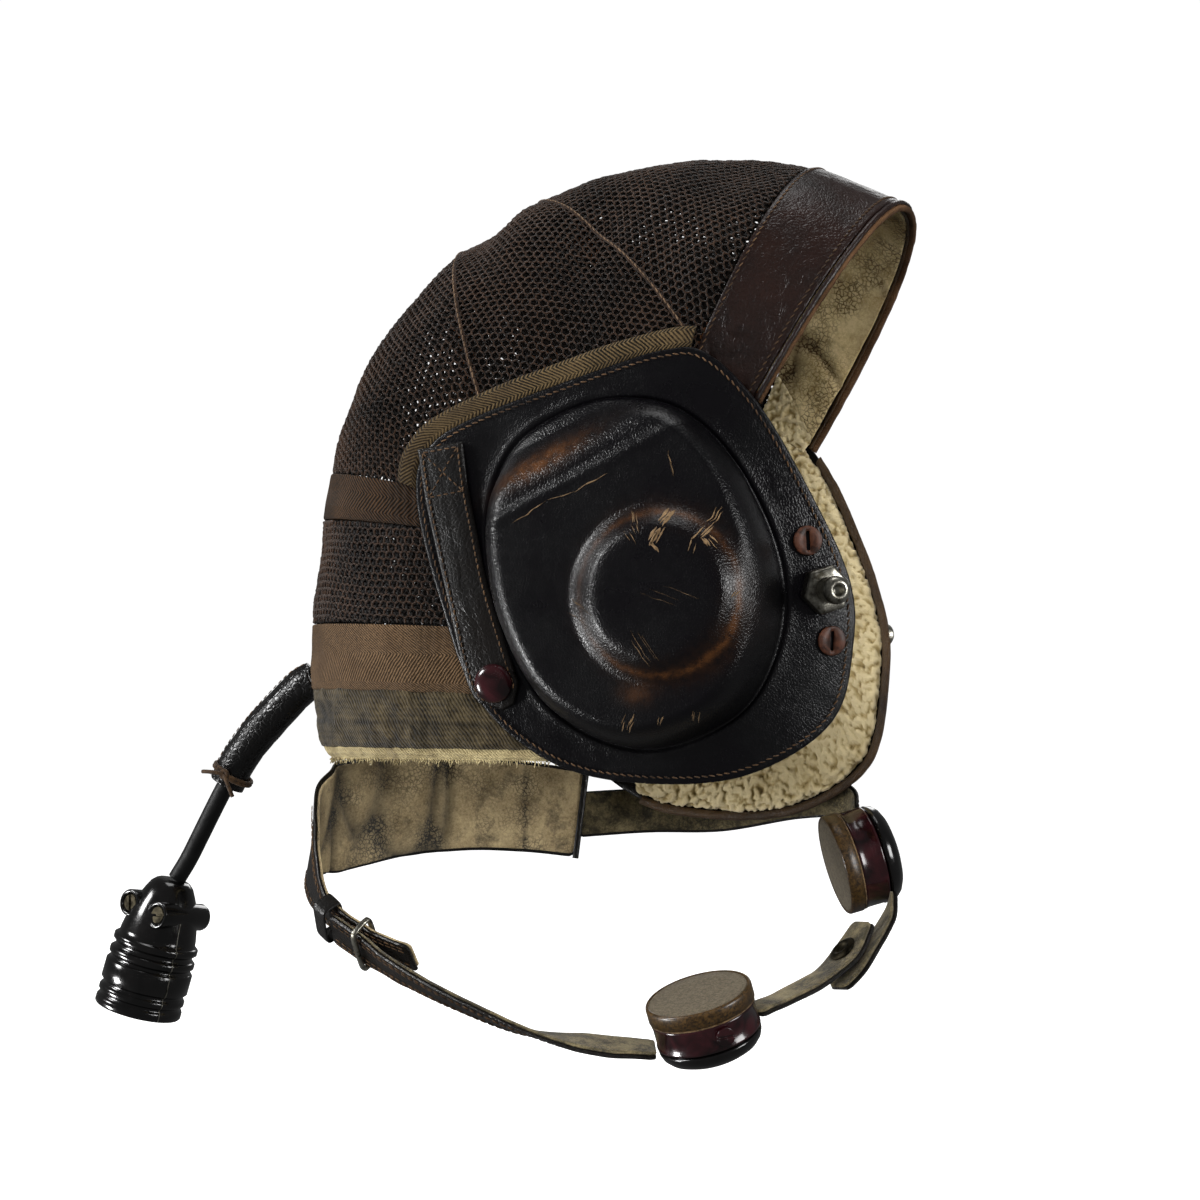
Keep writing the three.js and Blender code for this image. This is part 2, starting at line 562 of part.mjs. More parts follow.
// Closed shell from rings of spots: a layer outside, one a thickness inside, and the edge between them. With
// a middle spot the innermost ring is closed over it, and without one it is the edge of an opening.
function ringShell(grid, middle, place, thickness) {
  const vertices = [];
  const triangles = [];
  const put = (spot, depth) => vertices.push(place(spot, depth)) - 1;
  const layer = (depth) => grid.map((ring) => ring.map((spot) => put(spot, depth)));
  const outer = layer(0);
  const inner = layer(thickness);
  const around = grid[0].length;
  const last = grid.length - 1;
  const outerMiddle = middle && put(middle, 0);
  const innerMiddle = middle && put(middle, thickness);
  for (let i = 0; i < around; i++) {
    const next = (i + 1) % around;
    for (let k = 0; k < last; k++) {
      const [a, b, c, d] = [outer[k], outer[k + 1], inner[k], inner[k + 1]];
      triangles.push([a[i], a[next], b[next]], [a[i], b[next], b[i]]);
      triangles.push([c[i], d[next], c[next]], [c[i], d[i], d[next]]);
    }
    triangles.push([outer[0][next], outer[0][i], inner[0][i]], [outer[0][next], inner[0][i], inner[0][next]]);
    const [e, f] = [outer[last], inner[last]];
    if (middle) triangles.push([e[i], e[next], outerMiddle], [f[next], f[i], innerMiddle]);
    else triangles.push([e[i], e[next], f[next]], [e[i], f[next], f[i]]);
  }
  return solid(vertices, triangles);
}

// How far the lining goes past the panel's edge: at the top and rear it stops short of what tucks in there.
function liningReach(side, angle) {
  const degrees = THREE.MathUtils.euclideanModulo(THREE.MathUtils.radToDeg(angle), 360);
  const { smoothstep } = THREE.MathUtils;
  const tucked = smoothstep(degrees, 54, 60) * (1 - smoothstep(degrees, 236, 246));
  const short = -tuckUnder - 2 - 0.3 * side.hang * smoothstep(degrees, 190, 215);
  return side.reach + (short - side.reach) * tucked;
}

// Point beside the panel's edge at an angle round the ear's middle, on the head's side.
function flapPoint(side, angle, beyond, lift) {
  const radius = panelRadius(angle) + beyond;
  const x = domeCentre.x + radius * Math.cos(angle);
  const z = domeCentre.z + radius * Math.sin(angle);
  return new THREE.Vector3(x, side.sign * (sideDepth(x, z) + lift), hung(side, z));
}

// Cut-pile lining inside the ear panel, thinner at its edge, with an opening for the earphone.
function earLining(side) {
  const around = 28;
  const angles = steps(0, 2 * Math.PI, around).slice(0, around);
  const rings = [
    { share: 1, thickness: 2.6 },
    { share: 0.9, thickness: pileThickness },
    { share: 0.62, thickness: pileThickness },
    { share: 0.36, thickness: pileThickness },
  ];
  const grid = rings.map((ring) => angles.map((angle) => ({ ring, angle })));
  const place = ({ ring, angle }, depth) => {
    const edge = panelRadius(angle) + liningReach(side, angle);
    const lift = depth ? pileLift - ring.thickness : pileLift;
    return flapPoint(side, angle, edge * ring.share - panelRadius(angle), lift);
  };
  return ringShell(grid, null, place, pileThickness);
}

// Strip of a given section along part of the flap's edge.
function flapStrip(side, fromDegrees, toDegrees, section, count) {
  const vertices = [];
  const stations = steps(THREE.MathUtils.degToRad(fromDegrees), THREE.MathUtils.degToRad(toDegrees), count);
  const grid = stations.map((angle) =>
    section.map(({ beyond, lift }) => vertices.push(flapPoint(side, angle, beyond, lift)) - 1),
  );
  return solid(vertices, ringFaces(grid));
}

// Faces of a sweep whose stations are closed rings, with flat ends.
function ringFaces(grid) {
  const triangles = [];
  const size = grid[0].length;
  for (let i = 0; i + 1 < grid.length; i++) {
    for (let k = 0; k < size; k++) {
      const next = (k + 1) % size;
      const [a, b, c, d] = [grid[i][k], grid[i][next], grid[i + 1][next], grid[i + 1][k]];
      triangles.push([a, b, c], [a, c, d]);
    }
  }
  const end = grid[grid.length - 1];
  for (let k = 1; k + 1 < size; k++) {
    triangles.push([grid[0][0], grid[0][k + 1], grid[0][k]], [end[0], end[k], end[k + 1]]);
  }
  return triangles;
}

function box(low, high, liftLow, liftHigh) {
  return [
    { beyond: low, lift: liftLow },
    { beyond: high, lift: liftLow },
    { beyond: high, lift: liftHigh },
    { beyond: low, lift: liftHigh },
  ];
}

// Frame of directions at a spot on the ear panel: out from the head, and the slopes beside it.
function panelFrame(side, x, z, lift) {
  const step = 2;
  const at = (px, pz) => new THREE.Vector3(px, side.sign * (sideDepth(px, pz) + lift), hung(side, pz));
  const origin = at(x, z);
  const alongX = at(x + step, z).sub(at(x - step, z)).normalize();
  const alongZ = at(x, z + step).sub(at(x, z - step)).normalize();
  const out = new THREE.Vector3().crossVectors(alongX, alongZ).normalize();
  if (out.y * side.sign < 0) out.negate();
  return { origin, out };
}

// Turns a lathe or a prism that stands on +Y so that it stands on the given direction at the given spot.
function stand(geometry, origin, out, spin = 0) {
  const up = new THREE.Vector3(0, 1, 0);
  const turn = new THREE.Quaternion().setFromUnitVectors(up, out);
  const roll = new THREE.Quaternion().setFromAxisAngle(up, spin);
  geometry.applyQuaternion(roll).applyQuaternion(turn).translate(origin.x, origin.y, origin.z);
  return geometry;
}

function lathe(profile, segments) {
  const points = profile.map(([radius, height]) => new THREE.Vector2(radius, height));
  return new THREE.LatheGeometry(points, segments);
}

// Goggle-strap tab: sewn on at the top rear of the panel and closed by a snap near its pointed end.
const tabRows = [
  { place: "sewn end", x: -91.5, z: -113.6, half: 8.4 },
  { place: "below the square", x: -89, z: -131.1, half: 8.2 },
  { place: "bend", x: -86, z: -146.1, half: 8 },
  { place: "waist", x: -81.8, z: -166.1, half: 7.8 },
  { place: "snap", x: -74.6, z: -194.1, half: 9 },
  { place: "shoulder", x: -71, z: -200.6, half: 7.6 },
  { place: "point", x: -68, z: -206.1, half: 2.2 },
];
const tabThickness = 2;
const tabLift = panelLift + 0.5;

function goggleTab(side) {
  const vertices = [];
  const count = 12;
  const grid = steps(0, tabRows.length - 1, count).map((place) => {
    const middle = { x: column(tabRows, "x", place), z: column(tabRows, "z", place) };
    const dx = column(tabRows, "x", place + 0.1) - column(tabRows, "x", place - 0.1);
    const dz = column(tabRows, "z", place + 0.1) - column(tabRows, "z", place - 0.1);
    const length = Math.hypot(dx, dz);
    const half = column(tabRows, "half", place);
    const corner = (across, lift) => {
      const x = middle.x - (dz / length) * half * across;
      const z = middle.z + (dx / length) * half * across;
      return vertices.push(new THREE.Vector3(x, side.sign * (sideDepth(x, z) + lift), hung(side, z))) - 1;
    };
    const tabTop = tabLift + tabThickness;
    return [corner(-1, tabLift), corner(1, tabLift), corner(1, tabTop), corner(-1, tabTop)];
  });
  return solid(vertices, ringFaces(grid));
}

const snapPlace = { x: -72.8, z: -197.8, radius: 6.8, rise: 3.4 };
const washerPlaces = [
  { name: "upper", x: 36.8, z: -148.7 },
  { name: "lower", x: 44, z: -183.2 },
];
const studPlace = { x: 41.5, z: -165.6 };
const washerRadius = 4.8;
const washerThickness = 0.9;

function addEar(side) {
  add("ear_panel_" + side.name, earPanel(side), materials.blackLeather);
  add("ear_lining_" + side.name, earLining(side), materials.fleece);
  const low = side.reach + gap;
  const bindingSection = box(low, low + bindingWidth, pileLift - 3, pileLift + 1.4);
  add("ear_binding_" + side.name, flapStrip(side, -113, 51, bindingSection, 24), materials.brownLeather);
  const tapeSection = box(gap + 0.6, gap + 7, netThickness / 2 + 0.9, netThickness / 2 + 2);
  add("ear_edge_tape_" + side.name, flapStrip(side, 72, 156, tapeSection, 10), materials.tapeOlive);
  add("goggle_tab_" + side.name, goggleTab(side), materials.blackLeather);

  const snap = panelFrame(side, snapPlace.x, snapPlace.z, tabLift + tabThickness + gap);
  const snapProfile = [
    [0, 0],
    [snapPlace.radius, 0],
    [snapPlace.radius, 0.8],
    [snapPlace.radius * 0.8, snapPlace.rise * 0.75],
    [snapPlace.radius * 0.4, snapPlace.rise],
    [0, snapPlace.rise],
  ];
  const button = stand(lathe(snapProfile, 12), snap.origin, snap.out);
  add("snap_button_" + side.name, button, materials.maroonPlastic);

  for (const washer of washerPlaces) {
    const spot = panelFrame(side, washer.x, washer.z, panelLift + gap);
    const disc = lathe(rod(washerRadius, washerThickness), 12);
    add("washer_" + washer.name + "_" + side.name, stand(disc, spot.origin, spot.out), materials.washer);
  }

  const stud = panelFrame(side, studPlace.x, studPlace.z, panelLift + gap + 0.3);
  const nutProfile = [
    [0, 0],
    [7.4, 0],
    [8.6, 1.2],
    [8.6, 4.6],
    [7, 5.6],
    [0, 5.6],
  ];
  add("stud_nut_" + side.name, stand(lathe(nutProfile, 6), stud.origin, stud.out, 0.3), materials.steel);
  const pinBase = stud.origin.clone().addScaledVector(stud.out, 5.6 + gap);
  const pinProfile = [
    [0, 0],
    [4.4, 0],
    [4.4, 7.5],
    [3.4, 9],
    [1.9, 9],
    [1.9, 6],
    [0, 6],
  ];
  add("stud_pin_" + side.name, stand(lathe(pinProfile, 10), pinBase, stud.out), materials.steel);
}

// Strap through stations: a flat strip with its inner face looking in the given direction.
function strap(rows, thickness, count) {
  const vertices = [];
  const grid = steps(0, rows.length - 1, count).map((place) => {
    const middle = strapPoint(rows, place);
    const { across, face } = strapDirections(rows, place);
    const half = column(rows, "width", place) / 2;
    const deep = thickness / 2;
    const corner = (side, depth) =>
      vertices.push(middle.clone().addScaledVector(across, side * half).addScaledVector(face, depth)) - 1;
    return [corner(-1, -deep), corner(1, -deep), corner(1, deep), corner(-1, deep)];
  });
  return solid(vertices, ringFaces(grid));
}

function strapPoint(rows, place) {
  return new THREE.Vector3(column(rows, "x", place), column(rows, "y", place), column(rows, "z", place));
}

function strapDirections(rows, place) {
  const step = 0.05;
  const last = rows.length - 1;
  const along = strapPoint(rows, Math.min(place + step, last))
    .sub(strapPoint(rows, Math.max(place - step, 0)))
    .normalize();
  const [x, y, z] = ["faceX", "faceY", "faceZ"].map((key) => column(rows, key, place));
  const looks = new THREE.Vector3(x, y, z);
  const across = new THREE.Vector3().crossVectors(along, looks).normalize();
  const face = new THREE.Vector3().crossVectors(across, along).normalize();
  return { along, across, face };
}

// Loop of rectangular section round a strap: an outline with a hole, of a given depth along the strap.
function strapLoop(rows, place, outer, inner, depth, shift) {
  const shape = rectangle(outer.width, outer.height);
  shape.holes.push(rectangle(inner.width, inner.height));
  const geometry = new THREE.ExtrudeGeometry(shape, { depth, bevelEnabled: false });
  geometry.translate(0, 0, -depth / 2);
  const { along, across, face } = strapDirections(rows, place);
  const origin = strapPoint(rows, place).addScaledVector(face, shift);
  const basis = new THREE.Matrix4().makeBasis(across, face, new THREE.Vector3().crossVectors(across, face));
  geometry.applyMatrix4(basis).translate(origin.x, origin.y, origin.z);
  return geometry;
}

function rectangle(width, height) {
  const shape = new THREE.Shape();
  shape.moveTo(-width / 2, -height / 2);
  shape.lineTo(width / 2, -height / 2);
  shape.lineTo(width / 2, height / 2);
  shape.lineTo(-width / 2, height / 2);
  shape.closePath();
  return shape;
}

function addLoop() {
  add("collar", strap(collarRows, strapThickness, 30), materials.blackLeather);
  add("strap_right_rear", strap(rightRearRows, strapThickness, 16), materials.blackLeather);
  add("strap_right_front", strap(rightFrontRows, strapThickness, 10), materials.blackLeather);
  add("strap_left_front", strap(leftFrontRows, strapThickness, 9), materials.blackLeather);
  add("strap_left_rear", strap(leftRearRows, strapThickness, 14), materials.blackLeather);
  const keeperOuter = { width: 22, height: 12.4 };
  const keeperInner = { width: 19.4, height: 10 };
  add("strap_keeper", strapLoop(collarRows, 8, keeperOuter, keeperInner, 6, -2), materials.blackLeather);
  const buckleOuter = { width: 24, height: 14 };
  const buckleInner = { width: 19.6, height: 10.4 };
  add("buckle", strapLoop(collarRows, 9, buckleOuter, buckleInner, 2, -2), materials.steel);
  const snapAt = strapPoint(rightFrontRows, 3);
  const { face } = strapDirections(rightFrontRows, 3);
  const socketProfile = [
    [0, 0],
    [5.6, 0],
    [5.6, 0.8],
    [4, 1.5],
    [2.6, 1.5],
    [2.2, 0.8],
    [0, 0.8],
  ];
  const socketBase = snapAt.clone().addScaledVector(face, strapThickness / 2 + 2 * gap);
  add("strap_snap", stand(lathe(socketProfile, 12), socketBase, face), materials.steel);
}

// Throat microphone: a dome behind the strap, a body in front of it, and a cap with a flat face.
const micBodyDepth = 9.8;
const micCapDepth = 5.8;
const micDomeDepth = 8;

function addMicrophone(name, mic) {
  const centre = new THREE.Vector3(mic.x, mic.y, mic.z);
  const axis = new THREE.Vector3(mic.axisX, mic.axisY, mic.axisZ).normalize();
  const sides = 18;
  const at = (distance) => centre.clone().addScaledVector(axis, distance);
  const domeProfile = [
    [0, 0],
    [micRadius * 0.6, 0.8],
    [micRadius * 0.86, 2.8],
    [micRadius * 0.97, 5.6],
    [micRadius, micDomeDepth],
    [0, micDomeDepth],
  ];
  const dome = stand(lathe(domeProfile, sides), at(-micDomeDepth), axis);
  add("mic_back_" + name, dome, materials.blackPlastic);
  const body = lathe(rod(micRadius, micBodyDepth), sides);
  add("mic_body_" + name, stand(body, at(gap), axis), materials.maroonPlastic);
  const capProfile = [
    [0, 0],
    [micRadius * 1.02, 0],
    [micRadius * 1.02, micCapDepth - 0.7],
    [micRadius * 0.98, micCapDepth],
    [0, micCapDepth],
  ];
  const capStart = micBodyDepth + 2 * gap;
  add("mic_cap_" + name, stand(lathe(capProfile, sides), at(capStart), axis), materials.goldPlastic);
  const screwOut = new THREE.Vector3(0, -1, 0).addScaledVector(axis, axis.y).normalize();
  screwOut.applyAxisAngle(axis, mic.turn);
  const screwBase = at(gap + micBodyDepth / 2).addScaledVector(screwOut, micRadius + gap);
  const screwProfile = [
    [0, 0],
    [3.4, 0],
    [3, 0.8],
    [0, 0.8],
  ];
  add("mic_screw_" + name, stand(lathe(screwProfile, 12), screwBase, screwOut), materials.maroonPlastic);
}

// Round section swept along a route, with a bore when one is given.
function sweep(route, radius, bore, sides, count) {
  const points = route.map(({ x, z }) => new THREE.Vector3(x, leadY, z));
  const shape = circle(radius, sides);
  if (bore) shape.holes.push(circle(bore, sides));
  const extrudePath = new THREE.CatmullRomCurve3(points);
  return new THREE.ExtrudeGeometry(shape, { steps: count, extrudePath, bevelEnabled: false });
}

function circle(radius, sides) {
  const shape = new THREE.Shape();
  for (let i = 0; i < sides; i++) {
    const angle = (i / sides) * 2 * Math.PI;
    const [x, y] = [radius * Math.cos(angle), radius * Math.sin(angle)];
    if (i) shape.lineTo(x, y);
    else shape.moveTo(x, y);
  }
  shape.closePath();
  return shape;
}

function bareSolid(geometry) {
  const bare = geometry.clone();
  bare.deleteAttribute("normal");
  bare.deleteAttribute("uv");
  const merged = mergeVertices(bare, 1e-3);
  const mesh = new wasm.Mesh({
    numProp: 3,
    vertProperties: new Float32Array(merged.attributes.position.array),
    triVerts: new Uint32Array(merged.index.array),
  });
  return new wasm.Manifold(mesh);
}

// Joins closed geometries into one solid and cuts others out of it.
function joined(geometries, cuts) {
  const whole = geometries.map(bareSolid).reduce((sum, next) => sum.add(next));
  const result = cuts.map(bareSolid).reduce((rest, cut) => rest.subtract(cut), whole).getMesh();
  const geometry = new THREE.BufferGeometry();
  geometry.setAttribute("position", new THREE.Float32BufferAttribute(Array.from(result.vertProperties), 3));
  geometry.setIndex(Array.from(result.triVerts));
  return geometry;
}

// Straight cylinder's profile for a lathe.
function rod(radius, length) {
  return [
    [0, 0],
    [radius, 0],
    [radius, length],
    [0, length],
  ];
}

// Plug: rows of radius against the distance from its cable end, with ridges between narrower rings.
const plugRows = [
  { at: 0, radius: 0 },
  { at: 0, radius: 7.2 },
  { at: 2, radius: 8.8 },
  { at: 9, radius: 12 },
  { at: 22, radius: 15.2 },
  { at: 24.6, radius: 15.4 },
  { at: 25.2, radius: 17 },
  { at: 27.4, radius: 17 },
  { at: 28, radius: 15.6 },
  { at: 30.2, radius: 15.6 },
  { at: 30.8, radius: 17.2 },
  { at: 33, radius: 17.2 },
  { at: 33.6, radius: 16 },
  { at: 35, radius: 16 },
  { at: 35.6, radius: 17.5 },
  { at: 43.6, radius: 17.5 },
  { at: 44.2, radius: 16.2 },
  { at: 45.8, radius: 16.2 },
  { at: 46.4, radius: 17.3 },
  { at: 48.4, radius: 17.3 },
  { at: 49, radius: 16.4 },
  { at: 50.2, radius: 16.4 },
  { at: 50.8, radius: plugRadius },
  { at: plugLength, radius: plugRadius },
  { at: plugLength, radius: 0 },
];
const plugSides = 16;
const bossRadius = 5.4;
const bossHalfLength = 12.6;
const bossOffset = 8.2;
const bossAlong = 12.5;
const boltTurn = 0.38;
const recessRadius = 3.9;
const recessDepth = 1.8;
const screwRadius = 3.2;

function addLead() {
  add("lead_sleeve", sweep(sleeveRoute, sleeveRadius, sleeveBore, 10, 8), materials.blackLeather);
  add("lead_cable", sweep(cableRoute, cableRadius, 0, 8, 10), materials.rubber);

  const mouth = new THREE.Vector3(-205.2, leadY, -231.5);
  const mouthAxis = new THREE.Vector3(-0.5, 0, -0.866).normalize();
  const tieInner = sleeveRadius + 0.5;
  const tieProfile = [
    [tieInner, -1.2],
    [tieInner + 1.8, -1.2],
    [tieInner + 1.8, 1.2],
    [tieInner, 1.2],
    [tieInner, -1.2],
  ];
  add("lead_tie", stand(lathe(tieProfile, 12), mouth, mouthAxis), materials.tapeBrown);

  const axis = new THREE.Vector3(plugAxis.x, 0, plugAxis.z).normalize();
  const top = new THREE.Vector3(plugTop.x, leadY, plugTop.z);
  const body = stand(lathe(plugRows.map(({ at, radius }) => [radius, at]), plugSides), top, axis);
  const out = new THREE.Vector3(0, -1, 0).applyAxisAngle(axis, boltTurn);
  const aside = new THREE.Vector3().crossVectors(axis, out).normalize();
  const pieces = [body];
  const recesses = [];
  for (const [name, offset] of Object.entries({ front: bossOffset, rear: -bossOffset })) {
    const middle = top.clone().addScaledVector(axis, bossAlong).addScaledVector(aside, offset);
    const at = (distance) => middle.clone().addScaledVector(out, distance);
    const floor = bossHalfLength - recessDepth;
    pieces.push(stand(lathe(rod(bossRadius, 2 * bossHalfLength), 12), at(-bossHalfLength), out));
    recesses.push(stand(lathe(rod(recessRadius, 2 * recessDepth), 12), at(floor), out));
    const screw = lathe(rod(screwRadius, recessDepth - gap), 12);
    add("plug_screw_" + name, stand(screw, at(floor + gap), out), materials.steel);
  }
  add("plug_body", joined(pieces, recesses), materials.blackPlastic);
}

addHood();
addBrowBinding();
addSeamBands();
for (const side of sides) addEar(side);
addLoop();
for (const name of Object.keys(microphones)) addMicrophone(name, microphones[name]);
addLead();

export default helmet;
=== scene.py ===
import json
import math

import bpy
import numpy as np
from mathutils import Matrix, Vector

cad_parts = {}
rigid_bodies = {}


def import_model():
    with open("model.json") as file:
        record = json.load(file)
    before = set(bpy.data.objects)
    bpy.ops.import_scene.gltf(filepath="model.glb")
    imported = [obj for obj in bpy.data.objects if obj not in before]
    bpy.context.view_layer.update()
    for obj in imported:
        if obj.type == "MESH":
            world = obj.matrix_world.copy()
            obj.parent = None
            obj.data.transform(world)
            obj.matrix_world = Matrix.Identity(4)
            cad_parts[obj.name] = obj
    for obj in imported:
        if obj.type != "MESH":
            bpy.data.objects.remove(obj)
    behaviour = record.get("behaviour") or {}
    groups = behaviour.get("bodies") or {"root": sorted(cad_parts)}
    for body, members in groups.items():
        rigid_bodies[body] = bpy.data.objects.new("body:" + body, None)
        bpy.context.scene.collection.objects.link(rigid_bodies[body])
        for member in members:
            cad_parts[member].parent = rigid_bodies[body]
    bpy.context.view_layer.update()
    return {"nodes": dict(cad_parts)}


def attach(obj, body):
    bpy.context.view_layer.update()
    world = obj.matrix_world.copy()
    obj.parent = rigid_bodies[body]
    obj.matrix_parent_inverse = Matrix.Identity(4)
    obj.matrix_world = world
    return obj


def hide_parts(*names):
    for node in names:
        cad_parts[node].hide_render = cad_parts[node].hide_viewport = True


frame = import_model()
nodes = frame["nodes"]
mm = 0.001
print("frame loaded,", len(nodes), "solids")


# Numbers: smooth curves through tables, noise and directions, all on whole arrays

def namedRows(keys, rows):
    # A table: one dictionary for each row, under the given column names
    return [dict(zip(keys.split(), row)) for row in rows]


def tableColumn(rows, key):
    return np.array([row[key] for row in rows], float)


def curveThrough(values, place, closed=False):
    # Catmull-Rom curve through evenly spaced values, read at any place between them
    count = len(values)
    place = np.asarray(place, float)
    if not closed:
        place = np.clip(place, 0, count - 1)
    start = np.floor(place).astype(int)
    if not closed:
        start = np.minimum(start, count - 2)
    t = place - start
    if closed:
        a, b, c, d = (values[(start + k) % count] for k in (-1, 0, 1, 2))
    else:
        padded = np.concatenate([[2 * values[0] - values[1]], values, [2 * values[-1] - values[-2]]])
        a, b, c, d = (padded[start + k] for k in range(4))
    return 0.5 * (2 * b + (c - a) * t + (2 * a - 5 * b + 4 * c - d) * t**2 + (3 * b - a - 3 * c + d) * t**3)


def tableCurve(rows, key, place, closed=False):
    return curveThrough(tableColumn(rows, key), place, closed)


def smoothStep(value, low, high):
    t = np.clip((value - low) / (high - low), 0, 1)
    return t * t * (3 - 2 * t)


def bell(distance):
    return np.exp(-np.square(distance))


def unit(vectors):
    return vectors / np.maximum(np.linalg.norm(vectors, axis=-1, keepdims=True), 1e-12)


def latticeHash(cells, seed):
    # A number from 0 to 1 for each whole-number cell, the same in every run
    mixed = cells[..., 0] * 127.1 + cells[..., 1] * 311.7 + cells[..., 2] * 74.7 + seed * 19.19
    return np.abs(np.sin(mixed) * 43758.5453) % 1.0


def valueNoise(points, size, seed=0):
    # Smooth noise from -1 to 1: lattice numbers blended inside each cell of the given size
    scaled = points / size
    cell = np.floor(scaled)
    t = scaled - cell
    t = t * t * (3 - 2 * t)
    total = np.zeros(points.shape[:-1])
    for corner in np.ndindex(2, 2, 2):
        corner = np.array(corner)
        weight = np.prod(np.where(corner == 1, t, 1 - t), axis=-1)
        total += weight * latticeHash(cell + corner, seed)
    return 2 * total - 1


def cellBumps(points, size, seed=0):
    # Rounded lumps, one in each cell of the given size: 1 at a lump's middle, 0 between lumps
    scaled = points / size
    cell = np.floor(scaled)
    nearest = np.full(points.shape[:-1], 9.0)
    for step in np.ndindex(3, 3, 3):
        other = cell + (np.array(step) - 1)
        centre = other + 0.2 + 0.6 * np.stack([latticeHash(other, seed + k) for k in (1, 2, 3)], axis=-1)
        nearest = np.minimum(nearest, np.sum(np.square(scaled - centre), axis=-1))
    return np.clip(1 - nearest / 0.75, 0, 1)


def gridNormals(grid):
    # Unit normals of a grid of points, from its two directions
    return unit(np.cross(np.gradient(grid, axis=0), np.gradient(grid, axis=1)))


def pathLength(points):
    return np.concatenate([[0], np.cumsum(np.linalg.norm(np.diff(points, axis=0), axis=1))])


def evenPath(points, count):
    # The same path with points at even distances
    along = pathLength(points)
    wanted = np.linspace(0, along[-1], count)
    return np.stack([np.interp(wanted, along, points[:, k]) for k in range(3)], axis=1)


# Meshes: every piece is made in millimetres in the part's frame and stored in metres

def addObject(name, data):
    thing = bpy.data.objects.new(name, data)
    bpy.context.scene.collection.objects.link(thing)
    return thing


def makeMesh(name, shape, material, slotName, replaced=(), uv=None):
    # The shape is its points and its faces. Where uv has a row for half of the points, both sides share it
    points, faces = shape
    mesh = bpy.data.meshes.new(name)
    mesh.from_pydata((np.asarray(points, float) * mm).tolist(), [], [tuple(f) for f in faces])
    mesh.polygons.foreach_set("use_smooth", np.ones(len(mesh.polygons), bool))
    piece = addObject(name, mesh)
    if uv is not None:
        corners = np.zeros(len(mesh.loops), np.int32)
        mesh.loops.foreach_get("vertex_index", corners)
        layer = mesh.uv_layers.new(name="along")
        layer.data.foreach_set("uv", np.tile(uv, (len(points) // len(uv), 1))[corners].ravel())
    mesh.materials.append(material)
    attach(piece, "root")
    if replaced:
        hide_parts(*replaced)
    return piece


def addAttribute(piece, name, values):
    # A value for each point, or for half of them where both sides share it
    values = np.ravel(values).astype(np.float32)
    layer = piece.data.attributes.new(name, "FLOAT", "POINT")
    layer.data.foreach_set("value", np.tile(values, len(piece.data.vertices) // len(values)))


def gridFaces(countU, countV, closedU=False, closedV=False, start=0, flip=False):
    # Four-sided faces between neighbours of a grid, numbered row by row from start
    rows = np.arange(countU if closedU else countU - 1)
    columns = np.arange(countV if closedV else countV - 1)
    i, j = np.meshgrid(rows, columns, indexing="ij")
    i2, j2 = (i + 1) % countU, (j + 1) % countV
    a, b, c, d = (x * countV + y + start for x, y in ((i, j), (i2, j), (i2, j2), (i, j2)))
    faces = np.stack([a, b, c, d] if not flip else [d, c, b, a], axis=-1)
    return faces.reshape(-1, 4)


def slab(outer, inner, closedV=False):
    # Points and faces of a sheet with thickness: an outer grid, an inner grid and the edges between them
    countU, countV = outer.shape[:2]
    size = countU * countV
    points = np.concatenate([outer.reshape(-1, 3), inner.reshape(-1, 3)])
    top = gridFaces(countU, countV, closedV=closedV)
    bottom = gridFaces(countU, countV, closedV=closedV, start=size, flip=True)
    index = np.arange(size).reshape(countU, countV)
    edges = []

    def rim(line, flip):
        a, b = line[:-1], line[1:]
        quads = np.stack([a, a + size, b + size, b] if flip else [b, b + size, a + size, a], axis=-1)
        edges.append(quads)

    wrap = (lambda line: np.append(line, line[0])) if closedV else (lambda line: line)
    rim(wrap(index[0]), False)
    rim(wrap(index[-1]), True)
    if not closedV:
        rim(index[:, 0], True)
        rim(index[:, -1], False)
    faces = np.concatenate([top, bottom, *edges])
    return points, outwardFaces(points, faces)


def outwardFaces(points, faces):
    # Turns all faces round if the closed shape they bound has a negative volume
    a, b, c, d = (points[faces[:, k]] for k in range(4))
    volume = np.sum(a * np.cross(b, c)) + np.sum(a * np.cross(c, d))
    return faces[:, ::-1] if volume < 0 else faces


def pathFrames(path, reference, closed=False):
    # Directions along a path and two across it, the first as close to the reference as it can be
    if closed:
        along = unit(np.roll(path, -1, axis=0) - np.roll(path, 1, axis=0))
    else:
        along = unit(np.gradient(path, axis=0))
    reference = np.broadcast_to(reference, path.shape)
    side = unit(reference - np.sum(reference * along, axis=1, keepdims=True) * along)
    return along, side, np.cross(along, side)


def closedTube(grid):
    # Points and faces of a tube that comes back to its start, from a grid of stations of closed sections
    points = grid.reshape(-1, 3)
    return points, outwardFaces(points, gridFaces(*grid.shape[:2], closedU=True, closedV=True))


def cappedTube(grid):
    # Points and faces of a tube with ends: the faces of each end meet in the middle of its section
    count, size = grid.shape[:2]
    points = np.concatenate([grid.reshape(-1, 3), grid[[0, -1]].mean(axis=1)])
    ring = np.arange(size)
    after = (ring + 1) % size
    pole = np.full(size, count * size)
    lastRing = (count - 1) * size
    first = np.stack([ring, after, pole, pole], axis=1)
    last = np.stack([after + lastRing, ring + lastRing, pole + 1, pole + 1], axis=1)
    faces = outwardFaces(points, np.concatenate([gridFaces(count, size, closedV=True), first, last]))
    return points, [tuple(dict.fromkeys(face)) for face in faces.tolist()]


